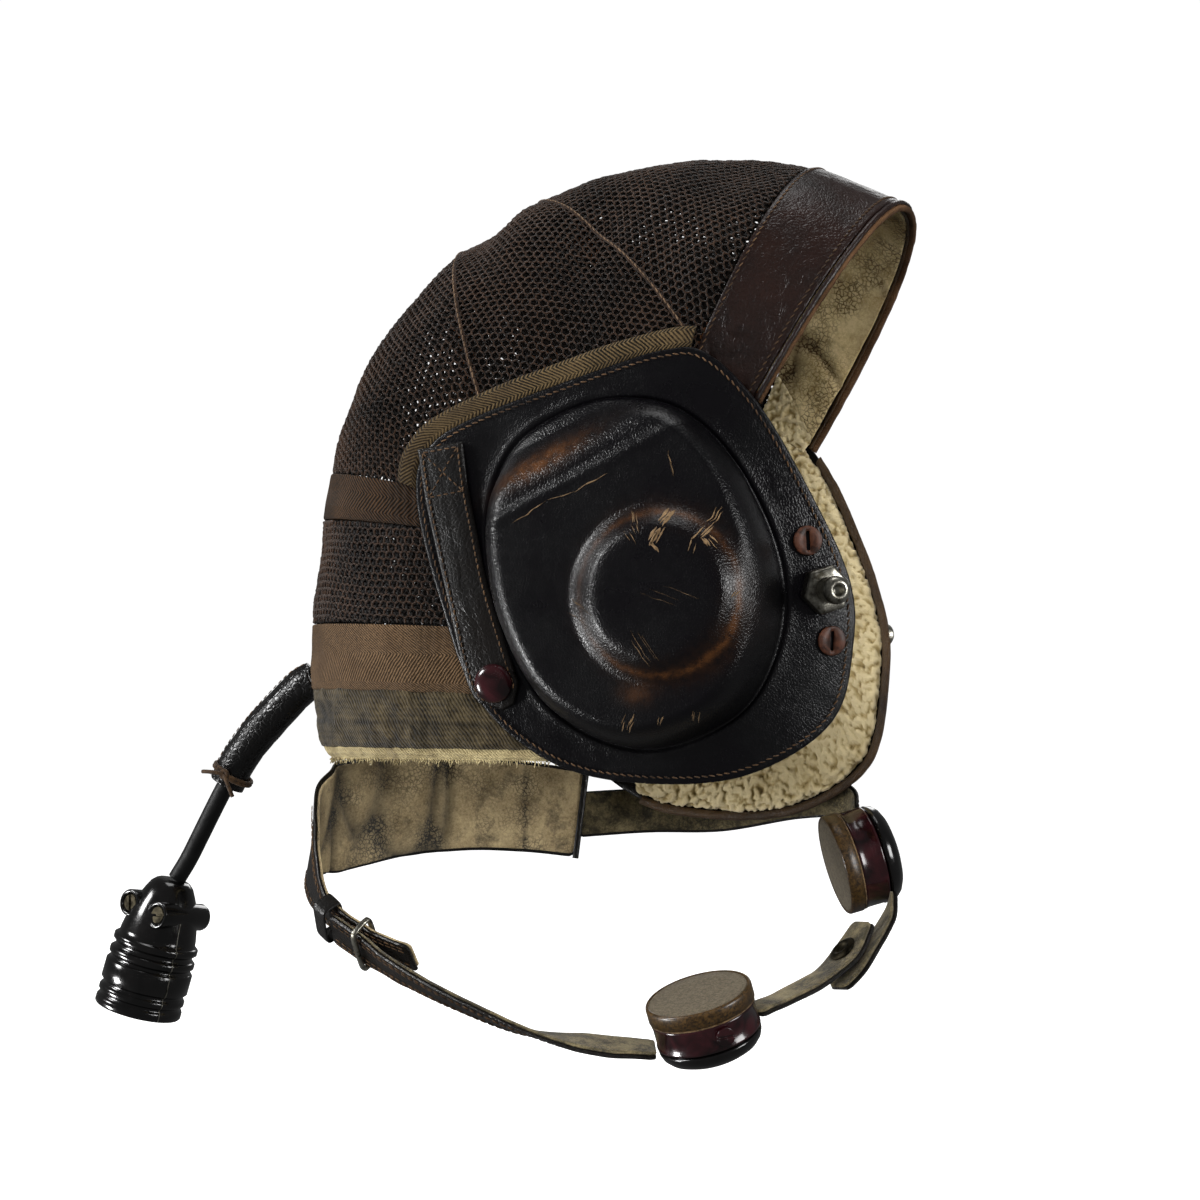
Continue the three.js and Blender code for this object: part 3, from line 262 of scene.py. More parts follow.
def sweepSection(path, reference, section, closed=False):
    # Points and faces of a section, as (side, up) pairs for each station, carried along a path
    along, side, up = pathFrames(path, reference, closed)
    section = np.broadcast_to(section, (len(path),) + np.shape(section)[-2:])
    grid = path[:, None] + section[..., :1] * side[:, None] + section[..., 1:] * up[:, None]
    return closedTube(grid) if closed else cappedTube(grid)


def circleSection(radius, sides):
    angle = np.linspace(0, 2 * np.pi, sides, endpoint=False)
    return radius * np.stack([np.cos(angle), np.sin(angle)], axis=1)


offAxis = np.array([0.31, 0.52, 0.79])  # lies along no thread, so a thread's sides can be worked out from it


def strands(starts, ends, radius, profile, sides):
    # Many short round strands at once. The profile is rows of share of the length and share of the radius
    count = len(starts)
    along = unit(ends - starts)
    side = unit(np.cross(along, offAxis))
    up = np.cross(along, side)
    share, width = np.array(profile, float).T
    angle = np.linspace(0, 2 * np.pi, sides, endpoint=False)
    radius = np.broadcast_to(radius, (count,))
    around = side[:, None] * np.cos(angle)[:, None] + up[:, None] * np.sin(angle)[:, None]
    middle = starts[:, None] + share[:, None] * (ends - starts)[:, None]
    rings = middle[:, :, None] + (width[:, None, None] * around[:, None]) * radius[:, None, None, None]
    body = np.concatenate([rings.reshape(count, -1, 3), starts[:, None], ends[:, None]], axis=1)
    size = body.shape[1]
    quads = gridFaces(len(share), sides, closedV=True, flip=True)
    ring = np.arange(sides)
    after = (ring + 1) % sides
    lastRing = (len(share) - 1) * sides
    startPole = np.stack([after, ring, np.full(sides, size - 2)], axis=1)
    endPole = np.stack([lastRing + ring, lastRing + after, np.full(sides, size - 1)], axis=1)
    offsets = (np.arange(count) * size)[:, None, None]
    faces = (quads[None] + offsets).reshape(-1, 4).tolist()
    faces += (np.concatenate([startPole, endPole])[None] + offsets).reshape(-1, 3).tolist()
    return body.reshape(-1, 3), faces


def bars(starts, ends, radius, over=0.07):
    # Many three-sided bars with flat ends, which run on a little past the points they join
    along = ends - starts
    side = unit(np.cross(along, offAxis))
    up = unit(np.cross(along, side))
    angle = np.arange(3) * 2 * np.pi / 3
    around = side[:, None] * np.cos(angle)[:, None] + up[:, None] * np.sin(angle)[:, None]
    around = around * np.broadcast_to(radius, (len(starts),))[:, None, None]
    first, last = starts - over * along, ends + over * along
    points = np.concatenate([first[:, None] + around, last[:, None] + around], axis=1)
    offsets = (np.arange(len(starts)) * 6)[:, None, None]
    quads = np.array([[0, 1, 4, 3], [1, 2, 5, 4], [2, 0, 3, 5]])[None] + offsets
    caps = np.array([[2, 1, 0], [3, 4, 5]])[None] + offsets
    return points.reshape(-1, 3), quads.reshape(-1, 4).tolist() + caps.reshape(-1, 3).tolist()


def joinShapes(shapes):
    # Several lists of points and faces as one
    points, faces, start = [], [], 0
    for shapePoints, shapeFaces in shapes:
        points.append(np.asarray(shapePoints))
        faces += [tuple(i + start for i in face) for face in np.asarray(shapeFaces, dtype=object).tolist()]
        start += len(shapePoints)
    return np.concatenate(points), faces


def stoodOn(shape, seat, spin=0.0):
    # A shape made round +Z, stood on a seat, which is a place and an outward direction
    place, out = seat
    quaternion = Vector((0, 0, 1)).rotation_difference(Vector(unit(out)))
    matrix = np.array(quaternion.to_matrix() @ Matrix.Rotation(spin, 3, "Z"))
    return shape[0] @ matrix.T + place, shape[1]


def turnedProfile(profile, sides, ripple=None):
    # Points and faces of a profile, rows of radius and height, turned round +Z and closed at both ends
    profile = np.array(profile, float)
    angle = np.linspace(0, 2 * np.pi, sides, endpoint=False)
    radius = profile[:, :1] * (ripple(angle) if ripple else 1)
    heights = np.broadcast_to(profile[:, 1:], (len(profile), sides))
    return cappedTube(np.stack([radius * np.cos(angle), radius * np.sin(angle), heights], axis=-1))


# Materials

def hexColor(text):
    # sRGB hex value as linear red, green, blue and alpha
    channels = [int(text[i:i + 2], 16) / 255 for i in (1, 3, 5)]
    linear = [c / 12.92 if c <= 0.04045 else ((c + 0.055) / 1.055) ** 2.4 for c in channels]
    return (*linear, 1.0)


def newMaterial(name):
    material = bpy.data.materials.new(name)
    material.use_nodes = True
    material.node_tree.nodes.clear()
    return material


def addNode(material, kind, inputs=None, output=0, stops=None, **settings):
    # Adds a node and returns its output. Inputs, by name or number, are values, hex colours or linked outputs
    node = material.node_tree.nodes.new("ShaderNode" + kind)
    for key, value in settings.items():
        setattr(node, key, value)
    for key, value in (inputs or {}).items():
        if isinstance(value, bpy.types.NodeSocket):
            material.node_tree.links.new(value, node.inputs[key])
        else:
            node.inputs[key].default_value = hexColor(value) if isinstance(value, str) else value
    for i, (place, color) in enumerate(stops or []):
        element = node.color_ramp.elements[i] if i < 2 else node.color_ramp.elements.new(place)
        element.position = place
        element.color = hexColor(color)
    return node.outputs[output] if len(node.outputs) else None


def finishMaterial(material, inputs):
    shader = addNode(material, "BsdfPrincipled", inputs)
    addNode(material, "OutputMaterial", {"Surface": shader})
    return material


def perMetre(sizeMm):
    # Texture scale that repeats once in the given real size
    return 1000 / sizeMm


def cottonCord(name, dark, light, roughness=0.88):
    # Knitted or twisted cotton: matt, each thread a little lighter or darker than the next
    m = newMaterial(name)
    place = addNode(m, "TexCoord", output="Object")
    patches = addNode(m, "TexNoise", {"Vector": place, "Scale": perMetre(26), "Detail": 3})
    threads = addNode(m, "TexNoise", {"Vector": place, "Scale": perMetre(1.9), "Detail": 2})
    both = addNode(m, "Mix", {0: 0.55, 2: patches, 3: threads})
    color = addNode(m, "ValToRGB", {"Fac": both}, stops=[(0.36, dark), (0.64, light)])
    fibres = addNode(m, "TexNoise", {"Vector": place, "Scale": perMetre(0.6), "Detail": 2})
    normal = addNode(m, "Bump", {"Height": fibres, "Distance": 0.15 * mm})
    return finishMaterial(m, {"Base Color": color, "Roughness": roughness, "Normal": normal,
                              "Sheen Weight": 0.06, "Sheen Roughness": 0.5, "Specular IOR Level": 0.15})


def herringboneTape(name, dark, light, columnMm, threadMm, stain):
    # Woven cotton tape: slanted threads that change direction from one column to the next
    m = newMaterial(name)
    spot = addNode(m, "UVMap", uv_map="along")
    parts = addNode(m, "SeparateXYZ", {0: spot}).node
    place = addNode(m, "TexCoord", output="Object")
    zigzag = addNode(m, "Math", {0: parts.outputs[1], 1: columnMm}, operation="PINGPONG")
    slant = addNode(m, "Math", {0: zigzag, 1: 1.0, 2: parts.outputs[0]}, operation="MULTIPLY_ADD")
    wobble = addNode(m, "TexNoise", {"Vector": place, "Scale": perMetre(7), "Detail": 2})
    phase = addNode(m, "Math", {0: wobble, 1: threadMm * 0.9, 2: slant}, operation="MULTIPLY_ADD")
    turned = addNode(m, "Math", {0: phase, 1: 2 * math.pi / threadMm}, operation="MULTIPLY")
    wave = addNode(m, "Math", {0: turned}, operation="SINE")
    ridge = addNode(m, "MapRange", {0: wave, 1: -1.0, 2: 1.0})
    fibres = addNode(m, "TexNoise", {"Vector": place, "Scale": perMetre(0.9), "Detail": 3})
    fuzzy = addNode(m, "MapRange", {0: fibres, 1: 0.3, 2: 0.7, 3: -0.25, 4: 0.2})
    shade = addNode(m, "Math", {0: ridge, 1: 0.8, 2: fuzzy}, operation="MULTIPLY_ADD")
    worn = addNode(m, "TexNoise", {"Vector": place, "Scale": perMetre(16), "Detail": 3})
    patches = addNode(m, "MapRange", {0: worn, 1: 0.3, 2: 0.7, 3: -0.12, 4: 0.25})
    shaded = addNode(m, "Math", {0: shade, 1: patches}, operation="ADD")
    woven = addNode(m, "ValToRGB", {"Fac": shaded}, stops=[(0.1, dark), (0.85, light)])
    dirt = addNode(m, "TexNoise", {"Vector": place, "Scale": perMetre(24), "Detail": 4})
    soiled = addNode(m, "MapRange", {0: dirt, 1: 0.5, 2: 0.68, 3: 0.0, 4: 0.55})
    color = addNode(m, "Mix", {0: soiled, 6: woven, 7: stain}, output=2, data_type="RGBA")
    normal = addNode(m, "Bump", {"Height": ridge, "Distance": 0.35 * mm})
    return finishMaterial(m, {"Base Color": color, "Roughness": 0.9, "Normal": normal,
                              "Sheen Weight": 0.03, "Specular IOR Level": 0.15})


def wornCloth(name, dark, light, ribMm, stain):
    # Ribbed cotton, old and soiled: ribs down the cloth broken by threads across it, coarse enough to show
    m = newMaterial(name)
    spot = addNode(m, "UVMap", uv_map="along")
    place = addNode(m, "TexCoord", output="Object")
    wobble = addNode(m, "TexNoise", {"Vector": place, "Scale": perMetre(6), "Detail": 3}, output="Color")
    bent = addNode(m, "VectorMath", {0: wobble, 1: (2.2, 2.2, 0), 2: spot}, operation="MULTIPLY_ADD")
    turns = addNode(m, "VectorMath", {0: bent, 1: (2 * math.pi / ribMm, 1.2 * math.pi / ribMm, 0)},
                    operation="MULTIPLY")
    waves = addNode(m, "VectorMath", {0: turns}, operation="SINE")
    parts = addNode(m, "SeparateXYZ", {0: waves}).node
    crossed = addNode(m, "Math", {0: parts.outputs[1], 1: 0.35, 2: parts.outputs[0]},
                      operation="MULTIPLY_ADD")
    weave = addNode(m, "MapRange", {0: crossed, 1: -1.2, 2: 1.2})
    patches = addNode(m, "TexNoise", {"Vector": place, "Scale": perMetre(9), "Detail": 5, "Roughness": 0.65})
    both = addNode(m, "Mix", {0: 0.22, 2: patches, 3: weave})
    woven = addNode(m, "ValToRGB", {"Fac": both}, stops=[(0.32, dark), (0.66, light)])
    dirt = addNode(m, "TexNoise", {"Vector": place, "Scale": perMetre(14), "Detail": 5, "Roughness": 0.65})
    soiled = addNode(m, "MapRange", {0: dirt, 1: 0.48, 2: 0.66, 3: 0.0, 4: 0.7})
    # Painted shade: the hollow value darkens the grooves beside the seams, the hem and the slot, added to the
    # dirt
    hollow = addNode(m, "Attribute", attribute_name="hollow", output="Fac")
    darkened = addNode(m, "Math", {0: soiled, 1: hollow}, operation="ADD", use_clamp=True)
    color = addNode(m, "Mix", {0: darkened, 6: woven, 7: stain}, output=2, data_type="RGBA")
    threads = addNode(m, "Bump", {"Height": weave, "Distance": 0.3 * mm})
    puckers = addNode(m, "TexNoise", {"Vector": place, "Scale": perMetre(3), "Detail": 3})
    normal = addNode(m, "Bump", {"Height": puckers, "Distance": 0.8 * mm, "Normal": threads})
    return finishMaterial(m, {"Base Color": color, "Roughness": 0.92, "Normal": normal,
                              "Sheen Weight": 0.1, "Specular IOR Level": 0.15})


def finishedLeather(name, look):
    # Finished leather: pebbled grain with fine cracks round the pebbles, glossier where it has been handled.
    # Where the piece carries a wear value, the finish has gone and the brown hide shows in broken patches
    m = newMaterial(name)
    place = addNode(m, "TexCoord", output="Object")
    warp = addNode(m, "TexNoise", {"Vector": place, "Scale": perMetre(look["grainMm"] * 4)}, output="Color")
    bent = addNode(m, "VectorMath", {0: warp, 1: (look["grainMm"] * 1.6 * mm,) * 3, 2: place},
                   operation="MULTIPLY_ADD")
    cells = addNode(m, "TexVoronoi", {"Vector": bent, "Scale": perMetre(look["grainMm"])},
                    feature="DISTANCE_TO_EDGE")
    pebbles = addNode(m, "MapRange", {0: cells, 1: 0.0, 2: 0.2})
    fine = addNode(m, "TexNoise", {"Vector": place, "Scale": perMetre(look["grainMm"] * 0.5), "Detail": 3})
    patches = addNode(m, "TexNoise", {"Vector": place, "Scale": perMetre(28), "Detail": 5, "Roughness": 0.6})
    both = addNode(m, "Mix", {0: 0.3, 2: patches, 3: fine})
    color = addNode(m, "ValToRGB", {"Fac": both}, stops=[(0.36, look["dark"]), (0.66, look["light"])])
    grain = addNode(m, "Bump", {"Height": pebbles, "Distance": look["grainDepth"] * mm})
    normal = addNode(m, "Bump", {"Height": fine, "Distance": look["grainDepth"] * 0.4 * mm, "Normal": grain})
    if look.get("creaseMm"):
        lines = addNode(m, "TexVoronoi", {"Vector": bent, "Scale": perMetre(look["creaseMm"])},
                        feature="DISTANCE_TO_EDGE")
        folds = addNode(m, "MapRange", {0: lines, 1: 0.0, 2: 0.14})
        normal = addNode(m, "Bump", {"Height": folds, "Distance": look["creaseDepth"] * mm, "Normal": normal})
    shine = look["roughness"]
    rough = addNode(m, "MapRange", {0: patches, 1: 0.3, 2: 0.7, 3: shine + 0.12, 4: shine - 0.07})
    if look.get("worn"):
        amount = addNode(m, "Attribute", attribute_name="wear", output="Fac")
        flakes = addNode(m, "TexNoise", {"Vector": place, "Scale": perMetre(3.2), "Detail": 6,
                                         "Roughness": 0.7})
        broken = addNode(m, "MapRange", {0: flakes, 1: 0.33, 2: 0.62, 3: 0.15, 4: 1.5})
        gone = addNode(m, "Math", {0: amount, 1: broken}, operation="MULTIPLY", use_clamp=True)
        color = addNode(m, "Mix", {0: gone, 6: color, 7: look["worn"]}, output=2, data_type="RGBA")
    return finishMaterial(m, {"Base Color": color, "Roughness": rough, "Normal": normal,
                              "Specular IOR Level": look.get("gloss", 0.4),
                              "Coat Weight": look.get("polish", 0.0), "Coat Roughness": 0.2})


def nappedLeather(name, look):
    # Suede, or the flesh side of leather: matt nap, blotched by sweat and grime, with painted shade in the
    # hollows of its folds, and fine dark crazing where it has dried out
    m = newMaterial(name)
    place = addNode(m, "TexCoord", output="Object")
    nap = addNode(m, "TexNoise", {"Vector": place, "Scale": perMetre(1.0), "Detail": 4, "Roughness": 0.75})
    patches = addNode(m, "TexNoise", {"Vector": place, "Scale": perMetre(13), "Detail": 5, "Roughness": 0.6})
    both = addNode(m, "Mix", {0: 0.42, 2: patches, 3: nap})
    hide = addNode(m, "ValToRGB", {"Fac": both}, stops=[(0.36, look["dark"]), (0.6, look["light"])])
    spots = addNode(m, "TexNoise", {"Vector": place, "Scale": perMetre(look["stainMm"]), "Detail": 7,
                                    "Roughness": 0.78, "Distortion": 0.3})
    low = look["stainFrom"]
    soiled = addNode(m, "MapRange", {0: spots, 1: low, 2: low + 0.14, 3: 0.0, 4: look["stainMost"]})
    stained = addNode(m, "Mix", {0: soiled, 6: hide, 7: look["stain"]}, output=2, data_type="RGBA")
    warp = addNode(m, "TexNoise", {"Vector": place, "Scale": perMetre(2.5), "Detail": 3}, output="Color")
    bent = addNode(m, "VectorMath", {0: warp, 1: (2.4 * mm,) * 3, 2: place}, operation="MULTIPLY_ADD")
    lines = addNode(m, "TexVoronoi", {"Vector": bent, "Scale": perMetre(look["crazeMm"])},
                    feature="DISTANCE_TO_EDGE")
    dry = addNode(m, "TexNoise", {"Vector": place, "Scale": perMetre(17), "Detail": 3})
    where = addNode(m, "MapRange", {0: dry, 1: 0.42, 2: 0.6})
    thin = addNode(m, "MapRange", {0: lines, 1: 0.02, 2: 0.16, 3: look["craze"], 4: 0.0})
    crazing = addNode(m, "Math", {0: thin, 1: where}, operation="MULTIPLY")
    # The hollow value is painted shade in the folds, added to the dark crazing
    hollow = addNode(m, "Attribute", attribute_name="hollow", output="Fac")
    darkened = addNode(m, "Math", {0: hollow, 1: 0.8, 2: crazing}, operation="MULTIPLY_ADD", use_clamp=True)
    color = addNode(m, "Mix", {0: darkened, 6: stained, 7: look["stain"]}, output=2, data_type="RGBA")
    rough = addNode(m, "Bump", {"Height": nap, "Distance": 0.35 * mm})
    normal = addNode(m, "Bump", {"Height": crazing, "Distance": -0.3 * mm, "Normal": rough})
    return finishMaterial(m, {"Base Color": color, "Roughness": 0.95, "Normal": normal,
                              "Sheen Weight": 0.1, "Specular IOR Level": 0.12})


def mouldedPlastic(name, dark, light, roughness, mottleMm, polish):
    # Moulded phenolic plastic or rubber: mottled in its mass, with the mould's polish and fine scuffs
    m = newMaterial(name)
    place = addNode(m, "TexCoord", output="Object")
    mottle = addNode(m, "TexNoise", {"Vector": place, "Scale": perMetre(mottleMm), "Detail": 4,
                                     "Distortion": 0.8})
    color = addNode(m, "ValToRGB", {"Fac": mottle}, stops=[(0.38, dark), (0.64, light)])
    scuffs = addNode(m, "TexNoise", {"Vector": place, "Scale": perMetre(3), "Detail": 5, "Roughness": 0.7})
    rough = addNode(m, "MapRange", {0: scuffs, 1: 0.35, 2: 0.7, 3: roughness - 0.03, 4: roughness + 0.1})
    normal = addNode(m, "Bump", {"Height": scuffs, "Distance": 0.03 * mm})
    return finishMaterial(m, {"Base Color": color, "Roughness": rough, "Normal": normal,
                              "Coat Weight": polish, "Coat Roughness": 0.1})


def platedMetal(name, dark, light, roughness):
    # Nickel-plated or plain brass, dulled, with dirt where hands don't rub
    m = newMaterial(name)
    place = addNode(m, "TexCoord", output="Object")
    dirt = addNode(m, "TexNoise", {"Vector": place, "Scale": perMetre(4), "Detail": 5, "Roughness": 0.65})
    color = addNode(m, "ValToRGB", {"Fac": dirt}, stops=[(0.34, dark), (0.58, light)])
    rough = addNode(m, "MapRange", {0: dirt, 1: 0.3, 2: 0.7, 3: roughness + 0.2, 4: roughness - 0.05})
    marks = addNode(m, "TexNoise", {"Vector": place, "Scale": perMetre(0.8), "Detail": 3})
    normal = addNode(m, "Bump", {"Height": marks, "Distance": 0.05 * mm})
    return finishMaterial(m, {"Base Color": color, "Metallic": 1.0, "Roughness": rough, "Normal": normal})


def curledPile(name, shadow, middle, tip):
    # Cut wool pile: painted shade in the hollows between the curls and painted light on their tops
    m = newMaterial(name)
    place = addNode(m, "TexCoord", output="Object")
    top = addNode(m, "Attribute", attribute_name="curlTop", output="Fac")
    wool = addNode(m, "TexNoise", {"Vector": place, "Scale": perMetre(1.3), "Detail": 4, "Roughness": 0.7})
    both = addNode(m, "Mix", {0: 0.22, 2: top, 3: wool})
    curls = addNode(m, "ValToRGB", {"Fac": both}, stops=[(0.1, shadow), (0.66, tip), (0.34, middle)])
    grime = addNode(m, "TexNoise", {"Vector": place, "Scale": perMetre(20), "Detail": 3})
    soiled = addNode(m, "MapRange", {0: grime, 1: 0.5, 2: 0.75, 3: 0.0, 4: 0.4})
    color = addNode(m, "Mix", {0: soiled, 6: curls, 7: middle}, output=2, data_type="RGBA")
    normal = addNode(m, "Bump", {"Height": wool, "Distance": 0.8 * mm})
    return finishMaterial(m, {"Base Color": color, "Roughness": 1.0, "Normal": normal, "Sheen Weight": 0.2,
                              "Sheen Roughness": 0.6, "Specular IOR Level": 0.05})


netCotton = cottonCord("knitted net cotton", "#0d0805", "#33241a")
# A darker copy of the net cotton for the inner layer: painted shade behind the outer layer, so the holes look
# dark
shadedCotton = cottonCord("grimy inner net cotton", "#030201", "#0e0906")
bandCotton = cottonCord("brown cotton seam tape", "#3a2212", "#6b4224")
linenThread = cottonCord("waxed linen thread", "#1f150d", "#5c452f", 0.7)
seamThread = cottonCord("light cotton thread", "#33261b", "#6f5a45", 0.8)
darkThread = cottonCord("dark waxed thread", "#1d1510", "#463422", 0.7)
scuffedHide = cottonCord("scuffed tan hide", "#382a1b", "#7a6347", 0.8)
darkTape = herringboneTape("dark herringbone tape", "#0a0704", "#3f2c1b", 6.0, 1.5, "#15100c")
brownTape = herringboneTape("brown herringbone tape", "#2b2014", "#665039", 10.5, 1.3, "#3a2b1d")
oliveTape = herringboneTape("olive herringbone tape", "#090704", "#5b4b32", 4.6, 1.5, "#2b2216")
oliveCloth = wornCloth("soiled olive cotton", "#120f09", "#4d432f", 1.4, "#16130d")
creamCotton = wornCloth("frayed cream cotton", "#6f6242", "#b5a67c", 1.3, "#57492f")
browLeather = finishedLeather("creased red-brown leather", {
    "dark": "#0b0605", "light": "#20120e", "roughness": 0.32, "grainMm": 1.3, "grainDepth": 0.07,
    "creaseMm": 3.4, "creaseDepth": 0.06, "polish": 0.1})
bindingLeather = finishedLeather("worn brown binding leather", {
    "dark": "#1f150d", "light": "#4e3921", "roughness": 0.5, "grainMm": 1.1, "grainDepth": 0.15})
rawLeather = finishedLeather("raw tan leather edge", {
    "dark": "#2c1c10", "light": "#6a4e36", "roughness": 0.8, "grainMm": 0.9, "grainDepth": 0.2, "gloss": 0.2})
panelLeather = finishedLeather("moulded black leather", {
    "dark": "#010102", "light": "#050406", "roughness": 0.29, "grainMm": 1.0, "grainDepth": 0.05,
    "worn": "#432812", "gloss": 0.36, "polish": 0.05})
strapLeather = finishedLeather("black strap leather", {
    "dark": "#020202", "light": "#110e0c", "roughness": 0.36, "grainMm": 1.5, "grainDepth": 0.07,
    "creaseMm": 6, "creaseDepth": 0.05, "gloss": 0.45})
sleeveLeather = finishedLeather("glossy grained sleeve leather", {
    "dark": "#010101", "light": "#060505", "roughness": 0.27, "grainMm": 2.4, "grainDepth": 0.12,
    "gloss": 0.5, "polish": 0.1})
suede = nappedLeather("stained suede", {
    "dark": "#75654a", "light": "#bca880", "stain": "#35332f", "stainMm": 11, "stainFrom": 0.52,
    "stainMost": 0.66, "crazeMm": 1.6, "craze": 0.6})
strapSuede = nappedLeather("grimy strap suede", {
    "dark": "#3f3828", "light": "#7f7355", "stain": "#24221d", "stainMm": 9, "stainFrom": 0.46,
    "stainMost": 0.8, "crazeMm": 1.6, "craze": 0.6})
liningHide = nappedLeather("beige flesh-side leather", {
    "dark": "#9c8556", "light": "#dcc796", "stain": "#46351f", "stainMm": 12, "stainFrom": 0.56,
    "stainMost": 0.5, "crazeMm": 1.9, "craze": 0.75})
fleece = curledPile("cream cut-pile fleece", "#77633b", "#ab9665", "#d4c398")
maroonPlastic = mouldedPlastic("maroon phenolic plastic", "#0c0304", "#2c0f13", 0.16, 9, 0.4)
goldPlastic = mouldedPlastic("gold-brown phenolic plastic", "#1b1208", "#4b371c", 0.34, 0.9, 0.1)
blackPlastic = mouldedPlastic("black phenolic plastic", "#020202", "#080707", 0.15, 12, 0.4)
paintedFace = mouldedPlastic("matt grey-tan paint", "#494236", "#6d6454", 0.55, 0.9, 0.0)
blackRubber = mouldedPlastic("black rubber", "#020202", "#070707", 0.36, 12, 0.0)
vulcanFibre = mouldedPlastic("red-brown vulcanised fibre", "#201009", "#48291b", 0.5, 3, 0.0)
nickelPlate = platedMetal("dulled nickel plate", "#4c483e", "#b9b6aa", 0.3)
dullBrass = platedMetal("dull screw brass", "#110f0b", "#413c30", 0.5)
print("materials made:", len(bpy.data.materials))


# Camera, floor and lights

studio = {"target": (-0.053, 0, -0.1641), "azimuth": 13.5, "elevation": -3.5, "distance": 0.85, "lens": 66.3,
          "floorHeight": -0.385, "floorSize": 14, "backdrop": 1.02, "ambient": 0.1, "floorLight": 1.3,
          "floorGlow": 0.65}
studioLights = [
    {"name": "key", "place": (-1.3, -0.62, 0.5), "size": 0.42, "power": 15, "glossy": True},
    {"name": "low left", "place": (-1.2, -0.5, -0.6), "size": 0.3, "power": 15, "glossy": True},
    {"name": "right", "place": (1.2, -0.4, 0.02), "size": 0.5, "power": 9, "glossy": True},
    {"name": "above", "place": (0, 0.05, 1.2), "size": 0.6, "power": 4, "glossy": True},
    {"name": "behind", "place": (-0.2, 1.5, 0.5), "size": 0.7, "power": 4, "glossy": True},
    {"name": "front fill", "place": (0.1, -1.5, 0.35), "size": 1.1, "power": 27, "glossy": False},
]


def lookAt(thing, place, target):
    thing.location = place
    thing.rotation_euler = (Vector(target) - Vector(place)).to_track_quat("-Z", "Y").to_euler()


def makeStudio():
    scene = bpy.context.scene
    camera = addObject("camera", bpy.data.cameras.new("camera"))
    azimuth, elevation = math.radians(studio["azimuth"]), math.radians(studio["elevation"])
    away = Vector((math.sin(azimuth) * math.cos(elevation), -math.cos(azimuth) * math.cos(elevation),
                   math.sin(elevation)))
    target = Vector(studio["target"])
    lookAt(camera, target + studio["distance"] * away, target)
    camera.data.lens = studio["lens"]
    camera.data.sensor_width = 36
    camera.data.clip_end = 50
    scene.camera = camera
    for row in studioLights:
        light = addObject(row["name"], bpy.data.lights.new(row["name"], "AREA"))
        light.data.size = row["size"]
        light.data.energy = row["power"]
        light.visible_glossy = row["glossy"]
        lookAt(light, row["place"], studio["target"])
    sun = addObject("floor light", bpy.data.lights.new("floor light", "SUN"))
    sun.data.energy = studio["floorLight"]
    sun.data.angle = 1.2
    sun.visible_glossy = False
    lookAt(sun, (0, 0, 1), (0, 0, 0))
    world = bpy.data.worlds.new("studio")
    world.use_nodes = True
    world.node_tree.nodes.clear()
    seen = addNode(world, "LightPath", output="Is Camera Ray")  # bright backdrop, dim light on the helmet
    strength = addNode(world, "MapRange", {"Value": seen, "To Min": studio["ambient"],
                                           "To Max": studio["backdrop"]})
    backdrop = addNode(world, "Background", {"Color": "#ffffff", "Strength": strength})
    addNode(world, "OutputWorld", {"Surface": backdrop})
    scene.world = world
    scene.view_settings.view_transform = "Standard"
    half = studio["floorSize"] / 2
    corners = [(x * half, y * half, studio["floorHeight"]) for x, y in ((-1, -1), (1, -1), (1, 1), (-1, 1))]
    mesh = bpy.data.meshes.new("floor")
    mesh.from_pydata(corners, [], [(0, 1, 2, 3)])
    floor = addObject("floor", mesh)
    paper = newMaterial("matt white paper")
    place = addNode(paper, "TexCoord", output="Object")
    tooth = addNode(paper, "TexNoise", {"Vector": place, "Scale": 900.0})
    color = addNode(paper, "ValToRGB", {"Fac": tooth}, stops=[(0.2, "#f4f4f3"), (0.8, "#fafaf9")])
    mesh.materials.append(finishMaterial(paper, {"Base Color": color, "Roughness": 0.95,
                                                 "Emission Color": "#ffffff",
                                                 "Emission Strength": studio["floorGlow"]}))
    floor.visible_diffuse = False  # it bounces no light up onto the helmet, and shades no lamp
    floor.visible_glossy = False
    floor.visible_shadow = False


makeStudio()
print("camera, lights and floor made")


# Hood: a row of ribs from the brow rim back to the nape. Each is half an oval from its side point, over its
# top point in the middle plane, to the other side

headCentre = np.array([-45, 0, -110])
tuckUnder = 5  # how far the hood goes on under the ear panels
ribs = namedRows("topX topZ sideX sideZ half square", [
    (65.6, -19.2, 21.4, -94.7, 69.8, 0.05),  # brow rim
    (34, -4.9, 0, -80.1, 74.4, 0.05),  # brow seam
    (0.3, 0.8, -20, -83.1, 76.5, 0.05),  # apex
    (-33.4, -0.4, -42, -91.1, 77, 0.05),  # crown
    (-66.4, -10.1, -63, -98.6, 77, 0.05),  # front seam
    (-87.5, -21.2, -72, -101, 77, 0.05),  # crown rear
    (-107.3, -35.2, -80, -103.6, 77, 0.05),  # rear seam
    (-133.1, -66.1, -91, -109.6, 77, 0.05),  # back
    (-146.1, -93.8, -98, -116.1, 77, 0.05),  # over the tape
    (-152.8, -116.4, -101, -127.1, 76.8, 0.04),  # upper tape
    (-156.9, -134.1, -99.5, -142.1, 76, 0.04),  # its foot
    (-163.1, -173.6, -92.5, -177.1, 73.3, 0.03),  # lower tape
    (-163.9, -197.9, -85.5, -201.1, 70.4, 0.02),  # its foot
    (-161.4, -219.7, -73.5, -220.6, 67.5, 0),  # foot of the cloth
    (-158.3, -224.4, -68, -225.1, 66.8, 0),  # foot of the edge strip
])
dents = namedRows("rib turn ribSpread turnSpread depth", [
    (1.7, -0.42, 0.5, 0.16, 4),  # behind the brow
    (3.1, -0.62, 0.35, 0.2, 3),  # fold over the ear
    (5, -0.35, 0.5, 0.22, 2.5),  # over the rear seam
    (7.6, 0.1, 0.8, 0.3, 2),  # slack at the back
    (3, 0.5, 0.8, 0.2, 3),  # hollow on the left
])


